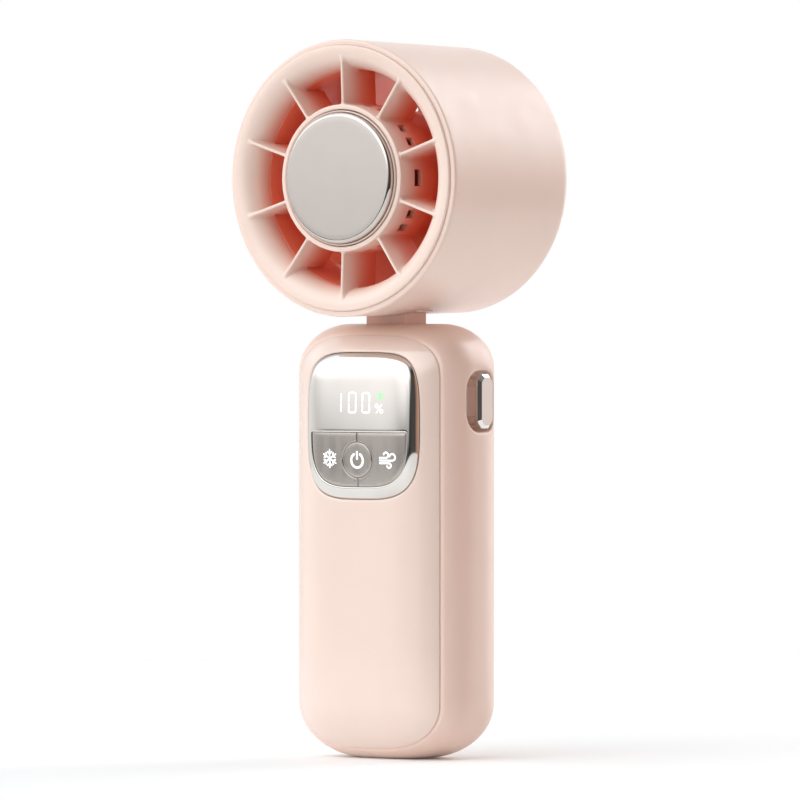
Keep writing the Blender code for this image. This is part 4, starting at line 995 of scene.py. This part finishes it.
def make_symbols():
    stamp("cool_symbol", snowflake(-8.3, POWER_Z + 0.25, 2.15, 0.36), BUTTON_PROUD, white_lit,
          "cool_button")
    stamp("power_symbol", power_symbol(POWER_Z), BUTTON_PROUD, white_lit, "power_button")
    stamp("wind_symbol", wind_symbol(8.9, POWER_Z + 0.25), BUTTON_PROUD, white_lit,
          "wind_button")
    level = POWER_Z + 13.8
    all_round = ("top", "bottom", "upper_left", "upper_right", "lower_left", "lower_right")
    digits = seven_segment(-5.65, level, 1.05, 2.35, ("upper_right", "lower_right"))
    digits += seven_segment(-1.25, level, 1.05, 2.35, all_round)
    digits += seven_segment(2.8, level, 1.05, 2.35, all_round)
    percent = [stroke([(5.9, level - 2.4), (7.4, level - 0.4)], 0.3)]
    for u, v in ((5.95, level - 0.75), (7.35, level - 2.05)):
        percent += [stroke(arc(u, v, 0.4, start, start + 200, 14), 0.26) for start in (0, 180)]
    stamp("charge_digits", digits + percent, PANEL_PROUD, white_lit, "handle")
    stamp("cool_sign", snowflake(6.95, level + 1.55, 0.95, 0.13), PANEL_PROUD, green_lit, "handle")


# Head

def drum_radius_at(y):
    return DRUM_RADIUS - DRUM_TAPER * (y - SHELL_FRONT) / (HEAD_BACK - SHELL_FRONT)


def block(x_range, y_range, z_range):
    shape = Shape()
    (x0, x1), (y0, y1), (z0, z1) = x_range, y_range, z_range
    loop = np.array([(x0, y0), (x1, y0), (x1, y1), (x0, y1)])
    shape.solid([at_z(loop, z) for z in (z0, z1)])
    return shape


def make_drum():
    bore_front, bore_back = DRUM_RADIUS - DRUM_WALL, DRUM_RADIUS - DRUM_TAPER - DRUM_WALL
    profile = [(bore_front, SHELL_FRONT + 0.05), (bore_front + 0.05, SHELL_FRONT)]
    profile.append((DRUM_RADIUS - 0.45, SHELL_FRONT))
    profile += [(DRUM_RADIUS - 0.45 * (1 - s), SHELL_FRONT + 0.5 * (1 - c)) for s, c in quarter(5)]
    back_edge = HEAD_BACK - 2.2
    profile += [(drum_radius_at(y), y) for y in np.linspace(SHELL_FRONT + 1.5, back_edge, 12)]
    for s, c in quarter(8):
        profile.append((drum_radius_at(back_edge) - 0.8 * (1 - c), back_edge + 2.2 * s))
    profile += [(bore_back + 0.1, HEAD_BACK), (bore_back, HEAD_BACK - 0.1)]
    shape = Shape()
    shape.turned(profile)
    gap_x, slot_y = 6.0, 5.3
    ears = block((-gap_x - 2.5, gap_x + 2.5), (in_handle(-3.2), in_handle(3.2)), (107.9, PIN_Z + 2.1))
    slot = block((-gap_x, gap_x), (in_handle(-slot_y), in_handle(slot_y)), (100, 114.8))
    bore = Shape()
    bore.solid([at_x(circle(HANDLE_Y, PIN_Z, PIN_BORE, 48), x) for x in (-gap_x - 3, gap_x + 3)])
    carvings = [("UNION", ears), ("DIFFERENCE", slot), ("DIFFERENCE", bore)]
    piece("drum_shell", shape, satin_pink.material, "head", ["head_shell"], 30, carvings)


def mouth_radius(y):
    """Radius of the bell mouth at a depth behind its crest."""
    share = np.clip((MOUTH_END - y) / MOUTH_DEPTH, 0, 1)
    return CREST_RADIUS - MOUTH_FLARE * np.sqrt(1 - share * share)


def fillet(gap, radius):
    """Height of a round fillet at a distance from the surface it runs into."""
    share = 1 - np.clip(gap / radius, 0, 1)
    return radius * (1 - np.sqrt(1 - share * share))


def ring_clearance(radius, y):
    """Distance from the bell mouth, about right near its surface."""
    across = (CREST_RADIUS - radius) / MOUTH_FLARE
    along = np.clip((MOUTH_END - y) / MOUTH_DEPTH, 0, None)
    return (np.hypot(across, along) - 1) * 0.85 * MOUTH_FLARE


def vane_row(back, nose, end):
    """One closed row of a vane at a distance behind its front edge: out along one side and back."""
    radius = np.linspace(HUB_RADIUS - 0.7, end, 36)
    share = np.clip((radius - HUB_RADIUS) / (CREST_RADIUS - HUB_RADIUS), 0, 1)
    y = VANE_FRONT - VANE_RISE * share + back
    half = VANE_EDGE + (VANE_HALF - VANE_EDGE) * min(1.0, back / 4)
    half = half + fillet(radius - HUB_RADIUS, 0.7)
    if back < THROAT_DEPTH:
        half = half + fillet(ring_clearance(radius, y), 0.6)
    there = np.column_stack((radius, y, half * nose))
    return np.vstack((there, (there * (1, 1, -1))[::-1]))


def vane_rows():
    rows = []
    tip = VANE_FRONT - VANE_RISE
    for turn in np.radians(np.linspace(12, 90, 6)):
        back = VANE_EDGE * (1 - math.cos(turn))
        rows.append(vane_row(back, math.sin(turn), mouth_radius(tip + back) + 0.5))
    for back in np.linspace(0.7, THROAT_DEPTH - 0.05, 10):
        rows.append(vane_row(back, 1.0, mouth_radius(tip + back) + 0.5))
    for back in np.linspace(THROAT_DEPTH, VANE_BACK - VANE_FRONT, 8):
        rows.append(vane_row(back, 1.0, THROAT_RADIUS - 0.37))
    return rows


def swung(rows, angle):
    """Carries rows of (radius, depth, side) points to an angle round the head axis."""
    c, s = math.cos(angle), math.sin(angle)
    made = []
    for row in rows:
        radius, y, side = row.T
        made.append(np.column_stack((radius * c - side * s, y, AXIS_Z + radius * s + side * c)))
    return made


def make_front_grille():
    mouth = [(CREST_RADIUS - MOUTH_FLARE * s, RING_FRONT + MOUTH_DEPTH * (1 - c)) for s, c in quarter(20)]
    ring = [(CREST_RADIUS, RING_FRONT)] + mouth
    ring += [(THROAT_RADIUS, RING_BACK), (THROAT_RADIUS + 1.3, RING_BACK)]
    spigot = RING_FRONT + 4.2
    ring += [(THROAT_RADIUS + 1.3, spigot), (RING_RADIUS, spigot), (RING_RADIUS, RING_FRONT + 0.45)]
    edge = RING_RADIUS - 0.45
    ring += [(edge + 0.45 * c, RING_FRONT + 0.45 * (1 - s)) for s, c in quarter(5)]
    floor = HUB_BACK - 1.3
    cup = [(HUB_RADIUS - 0.35, HUB_FRONT)]
    cup += [(HUB_RADIUS - 0.35 * (1 - s), HUB_FRONT + 0.35 * (1 - c)) for s, c in quarter(4)]
    cup += [(HUB_RADIUS, HUB_BACK), (3.5, HUB_BACK), (3.5, floor), (HUB_BORE, floor)]
    cup += [(HUB_BORE, HUB_FRONT + 0.2), (HUB_BORE + 0.2, HUB_FRONT)]
    shape = Shape()
    shape.turned(ring)
    shape.turned(cup)
    vanes = Shape()
    rows = vane_rows()
    for number in range(VANES):
        vanes.solid(swung(rows, math.pi / 2 + 2 * math.pi * number / VANES))
    windows = Shape()
    for number in range(VANES):
        middle = 2 * math.pi * number / VANES
        spread = math.radians(6.5)
        places = [(middle - spread, 1.1), (middle + spread, 1.1)]
        if number in (0, VANES // 2):
            places = [(middle, 2.0)]
        for angle, half in places:
            loop = [np.array([(r, y, d) for r, y in ((15.3, -18), (18.9, -18), (18.9, -15), (15.3, -15))])
                    for d in (-half, half)]
            windows.solid(swung(loop, angle))
    carvings = [("UNION", vanes), ("DIFFERENCE", windows)]
    piece("vane_ring", shape, grille_pink.material, "head", ["front_grille"], 32, carvings)


def make_cold_plate():
    flat = PLATE_RADIUS - PLATE_EDGE
    profile = [(flat * t, HEAD_FRONT + PLATE_CROWN * t * t) for t in np.linspace(0.03, 1, 12)]
    for s, c in quarter(8):
        profile.append((flat + PLATE_EDGE * s, HEAD_FRONT + PLATE_CROWN + PLATE_EDGE * (1 - c)))
    profile += [(PLATE_RADIUS, PLATE_BACK)]
    shape = Shape()
    shape.turned(profile, closed=False)
    piece("cold_disc", shape, plate_metal.material, "head", ["cold_plate"])

    profile = [(COLLAR_INNER + 0.2, COLLAR_FRONT), (COLLAR_OUTER - 0.25, COLLAR_FRONT)]
    profile += [(COLLAR_OUTER - 0.25 * (1 - s), COLLAR_FRONT + 0.25 * (1 - c)) for s, c in quarter(4)]
    profile += [(COLLAR_OUTER, COLLAR_BACK), (COLLAR_INNER, COLLAR_BACK)]
    profile += [(COLLAR_INNER, COLLAR_FRONT + 0.2)]
    shape = Shape()
    shape.turned(profile)
    piece("disc_collar", shape, gloss_pink.material, "head", ["plate_collar"])


def make_duct():
    flange = DUCT_BACK - 2.2
    profile = [(THROAT_RADIUS, DUCT_FRONT + 0.2), (THROAT_RADIUS + 0.2, DUCT_FRONT)]
    profile += [(DUCT_OUTER, DUCT_FRONT), (DUCT_OUTER, flange), (GRILLE_RADIUS, flange)]
    profile += [(GRILLE_RADIUS, DUCT_BACK), (THROAT_RADIUS, DUCT_BACK)]
    shape = Shape()
    shape.turned(profile)
    piece("air_duct", shape, duct_pink.material, "head", ["duct_liner"])


def blade_loop(share, angle):
    """Section of a blade at a share of its reach: down one face and back up the other."""
    root = IMPELLER_HUB - 0.5
    radius = root + (BLADE_TIP - root) * share
    length, sweep = 13.0, math.radians(40)
    arc_length = radius * sweep
    slant = math.hypot(arc_length, length)
    along = np.linspace(0, 1, 22)
    half = 0.6 * (0.35 + 0.65 * np.sin(np.pi * along))
    faces = []
    for side in (-1, 1):
        a = angle + sweep * (along - 0.5) + side * half * length / slant / radius
        y = IMPELLER_FRONT + 1.6 + length * along - side * half * arc_length / slant
        faces.append(np.column_stack((radius * np.cos(a), y, AXIS_Z + radius * np.sin(a))))
    return np.vstack((faces[0], faces[1][::-1]))


def make_impeller():
    hub = IMPELLER_HUB
    outside = [(0.01, IMPELLER_BACK), (hub * 0.5, IMPELLER_BACK - 0.15)]
    outside += [(hub * 0.5 + hub * 0.5 * s, IMPELLER_BACK - 0.15 - 3.0 * (1 - c)) for s, c in quarter(12)]
    bore = hub - 1.85
    profile = outside + [(hub, IMPELLER_FRONT + 0.4), (hub - 0.4, IMPELLER_FRONT), (bore, IMPELLER_FRONT)]
    profile += [(bore, IMPELLER_FLOOR), (1.75, IMPELLER_FLOOR), (1.75, 6.35), (0.01, 6.35)]
    shape = Shape()
    shape.turned(profile, 144, closed=False)
    blades = Shape()
    for number in range(BLADES):
        angle = 2 * math.pi * number / BLADES
        blades.solid([blade_loop(share, angle) for share in np.linspace(0, 1, 12)])
    carvings = [("UNION", blades)]
    piece("fan_wheel", shape, impeller_pink.material, "impeller", ["impeller"], 32, carvings)


# Rear grille and its screws

def slot_loop(inner, outer, angle):
    sides = []
    for radius in (inner, outer):
        half = math.pi / GRILLE_RIBS - GRILLE_RIB / 2 / radius
        sides.append(angle + half * np.linspace(-1, 1, 30))
    near = np.column_stack((inner * np.cos(sides[0]), AXIS_Z + inner * np.sin(sides[0])))
    far = np.column_stack((outer * np.cos(sides[1]), AXIS_Z + outer * np.sin(sides[1])))
    return resample(np.vstack((far, near[::-1])), 60)


def screw_places():
    angles = [math.pi / 2 + 2 * math.pi * i / 3 for i in range(3)]
    return [(SCREW_RING * math.cos(a), AXIS_Z + SCREW_RING * math.sin(a)) for a in angles]


def make_rear_grille():
    """A ring of slots three deep, with holes for the screws; each edge is softened by its own amount."""
    pitch = (THROAT_RADIUS - GRILLE_CAP) / GRILLE_RINGS
    holes = []
    for ring in range(GRILLE_RINGS):
        start = GRILLE_CAP + ring * pitch
        for number in range(GRILLE_RIBS):
            angle = 2 * math.pi * (number + 0.5) / GRILLE_RIBS
            holes.append(slot_loop(start, start + pitch - GRILLE_RIB, angle))
    edges = [0.3] * len(holes)
    holes += [circle(x, z, SCREW_HOLE, 40) for x, z in screw_places()]
    holes.append(circle(0, AXIS_Z, GRILLE_RADIUS, 200)[::-1])
    edges += [0.05] * (len(holes) - len(edges))
    loops = [inset(hole, -edge) for hole, edge in zip(holes, edges)]
    shape = Shape()
    front, back = shape.patch(
        loops[::-1], 1.6, lambda p: at_y(p, GRILLE_FRONT), lambda p: at_y(p, GRILLE_BACK)
    )
    for loop, edge, near, far in zip(holes[::-1], edges[::-1], front, back):
        shape.rows(near, [at_y(loop, GRILLE_FRONT + edge), at_y(loop, GRILLE_BACK - edge)], far)
    piece("intake_grille", shape, satin_pink.material, "head", ["rear_grille"])


def cross_loop(x, z, arm, half):
    quarter_run = [(arm, -half), (arm, half), (half, half)]
    points = []
    for turn in range(4):
        c, s = ((1, 0), (0, 1), (-1, 0), (0, -1))[turn]
        points += [(x + u * c - v * s, z + u * s + v * c) for u, v in quarter_run]
    return np.array(points)


def make_screws():
    top = GRILLE_BACK - 0.05
    for number, (x, z) in enumerate(screw_places(), 1):
        cross = cross_loop(x, z, 0.95, 0.22)
        shape = Shape()
        face, = shape.patch([circle(x, z, 1.35, 48), cross], 0.5, lambda p: at_y(p, top))
        rows = [(SCREW_HEAD - 0.1, top - 0.12), (SCREW_HEAD, top - 0.35), (SCREW_HEAD, top - 1.1)]
        rows += [(0.8, top - 1.1), (0.8, 20.3)]
        chain = shape.rows(face[0], [at_y(circle(x, z, radius, 48), y) for radius, y in rows])
        shape.cap(chain[-1])
        floor = shape.rows(face[1], [at_y(cross, top - 0.6)])
        shape.cap(floor[-1])
        node = f"grille_screw_{number}"
        piece(f"grille_fixing_{number}", shape, steel.material, "head", [node])


# Finishes of the CAD nodes that stay

def dress_nodes():
    finishes = {
        "satin_pink": satin_pink,
        "steel": steel,
        "dark_steel": metal("dark_steel", (0.20, 0.20, 0.21), 0.35),
        "copper": metal("copper", (0.72, 0.38, 0.22), 0.35, (1, 8, 1)),
        "aluminium": metal("aluminium", (0.75, 0.75, 0.76), 0.35, (1, 1, 0.1)),
        "ceramic": plastic("ceramic", (0.85, 0.85, 0.83), 0.5, 0.01),
        "board_green": plastic("board_green", (0.05, 0.22, 0.10), 0.4, 0.02),
        "black_plastic": plastic("black_plastic", (0.03, 0.03, 0.032), 0.4, 0.01),
        "white_plastic": plastic("white_plastic", (0.78, 0.78, 0.77), 0.45, 0.01),
        "cell_wrap": plastic("cell_wrap", (0.10, 0.28, 0.50), 0.3, 0.0),
    }
    # Painted shade: the neck post is a deeper pink, standing in for the warm shade and bounced light under
    # the head
    neck_shade_pink = plastic("neck_shade_pink", (0.92, 0.55, 0.43), 0.35, 0.008)
    slots = {entry["node"]: entry["material_slot"] for entry in frame["record"]["subparts"]}
    for name, node in frame["nodes"].items():
        if not node.hide_render:
            node.data.materials.clear()
            finish = neck_shade_pink if name == "neck_post" else finishes[slots[name]]
            node.data.materials.append(finish.material)


# Studio, in metres and degrees

FLOOR_RADIUS = 0.55
FLOOR_GLOW = 0.06


def seen_rays(nodes, links, mirrored_share=None):
    """One for rays from the camera and for mirrored or refracted rays, times a share for the latter."""
    path = nodes.new("ShaderNodeLightPath")
    bent = nodes.new("ShaderNodeMath")
    links.new(path.outputs["Is Glossy Ray"], bent.inputs[0])
    links.new(path.outputs["Is Transmission Ray"], bent.inputs[1])
    seen = nodes.new("ShaderNodeMath")
    seen.operation = "MULTIPLY_ADD"
    seen.use_clamp = True
    links.new(bent.outputs["Value"], seen.inputs[0])
    seen.inputs[1].default_value = 1.0
    if mirrored_share:
        links.new(mirrored_share, seen.inputs[1])
    links.new(path.outputs["Is Camera Ray"], seen.inputs[2])
    return seen.outputs["Value"]


def make_floor():
    """A round white table top."""
    mesh = bpy.data.meshes.new("floor")
    rim = at_z(circle(0, 0, FLOOR_RADIUS, 128), 0.0)
    mesh.from_pydata(rim.tolist(), [], [list(range(len(rim)))])
    floor = bpy.data.objects.new("floor", mesh)
    bpy.context.scene.collection.objects.link(floor)
    made = Finish("floor", (0.95, 0.95, 0.95), 0.9)
    made.vary_color(40, 0.004)
    made.shader.inputs["Emission Color"].default_value = (1, 1, 1, 1)
    glow = made.spread(seen_rays(made.nodes, made.links), 0.0, FLOOR_GLOW, 0.0, 1.0)
    made.links.new(glow, made.shader.inputs["Emission Strength"])
    mesh.materials.append(made.material)


def heading(azimuth, elevation):
    """Unit vector towards an azimuth from the front and an elevation, both in degrees."""
    a, e = math.radians(azimuth), math.radians(elevation)
    return Vector((math.sin(a) * math.cos(e), -math.cos(a) * math.cos(e), math.sin(e)))


# Soft lights of the studio dome: azimuth, elevation, reach in degrees, strength and tint
STUDIO_LIGHTS = (
    (175, 13, 40, 2.6, (1.0, 1.0, 1.0)),
    (160, 30, 30, 1.7, (1.0, 1.0, 1.0)),
    (-60, 48, 48, 1.26, (1.0, 1.09, 1.14)),
    (5, 36, 36, 1.9, (1.0, 1.0, 1.0)),
    (-31, 17, 30, 1.4, (1.0, 1.0, 1.0)),
    (-4, 12, 20, 0.9, (1.0, 1.0, 1.0)),
    (-76, 2, 38, 1.0, (1.0, 1.0, 1.0)),
    (112, 0, 45, 0.5, (1.0, 0.50, 0.30)),
    (50, 10, 60, 0.08, (1.0, 1.0, 1.0)),
    (0, 85, 48, 0.6, (1.0, 1.0, 1.0)),
)
CAMERA_VIEW = (35.9, 0.72)
CAMERA_TARGET = (-0.0003, 0.00085, 0.0865)
CAMERA_DISTANCE = 2.1
CAMERA_LENS = 390.0


def make_world():
    """A dark dome with soft lights, and a plain white backdrop behind the object."""
    world = bpy.data.worlds.new("studio")
    bpy.context.scene.world = world
    world.use_nodes = True
    nodes, links = world.node_tree.nodes, world.node_tree.links
    nodes.clear()
    place = nodes.new("ShaderNodeTexCoord").outputs["Generated"]

    def soft_light(direction, reach, strength):
        nearness = nodes.new("ShaderNodeVectorMath")
        nearness.operation = "DOT_PRODUCT"
        nearness.inputs[1].default_value = direction
        links.new(place, nearness.inputs[0])
        fade = nodes.new("ShaderNodeMapRange")
        fade.interpolation_type = "SMOOTHSTEP"
        fade.inputs["From Min"].default_value = math.cos(math.radians(reach))
        fade.inputs["From Max"].default_value = math.cos(math.radians(reach * 0.15))
        fade.inputs["To Max"].default_value = strength
        links.new(nearness.outputs["Value"], fade.inputs["Value"])
        return fade.outputs["Result"]

    dome = None
    for azimuth, elevation, reach, strength, tint in STUDIO_LIGHTS:
        light = nodes.new("ShaderNodeBackground")
        light.inputs["Color"].default_value = (*tint, 1)
        links.new(soft_light(heading(azimuth, elevation), reach, strength), light.inputs["Strength"])
        if dome:
            both = nodes.new("ShaderNodeAddShader")
            links.new(dome, both.inputs[0])
            links.new(light.outputs["Background"], both.inputs[1])
            dome = both.outputs["Shader"]
        else:
            dome = light.outputs["Background"]
    backdrop = nodes.new("ShaderNodeBackground")
    backdrop.inputs["Color"].default_value = (1, 1, 1, 1)
    behind = soft_light(-heading(*CAMERA_VIEW), 60, 1.0)
    mix = nodes.new("ShaderNodeMixShader")
    links.new(seen_rays(nodes, links, behind), mix.inputs["Fac"])
    links.new(dome, mix.inputs[1])
    links.new(backdrop.outputs["Background"], mix.inputs[2])
    out = nodes.new("ShaderNodeOutputWorld")
    links.new(mix.outputs["Shader"], out.inputs["Surface"])


def make_camera():
    data = bpy.data.cameras.new("camera")
    data.lens = CAMERA_LENS
    data.sensor_width = 36.0
    data.clip_start, data.clip_end = 0.05, 50
    camera = bpy.data.objects.new("camera", data)
    bpy.context.scene.collection.objects.link(camera)
    towards = heading(*CAMERA_VIEW)
    camera.location = Vector(CAMERA_TARGET) + towards * CAMERA_DISTANCE
    camera.rotation_euler = towards.to_track_quat("Z", "Y").to_euler()
    bpy.context.scene.camera = camera


bpy.context.scene.view_settings.view_transform = "Standard"
make_camera()
make_floor()
make_world()

make_front_panel()
make_rear_shell()
make_lanyard_bar()
make_control_panel()
make_buttons()
make_symbols()
make_drum()
make_front_grille()
make_cold_plate()
make_duct()
make_impeller()
make_rear_grille()
make_screws()
dress_nodes()
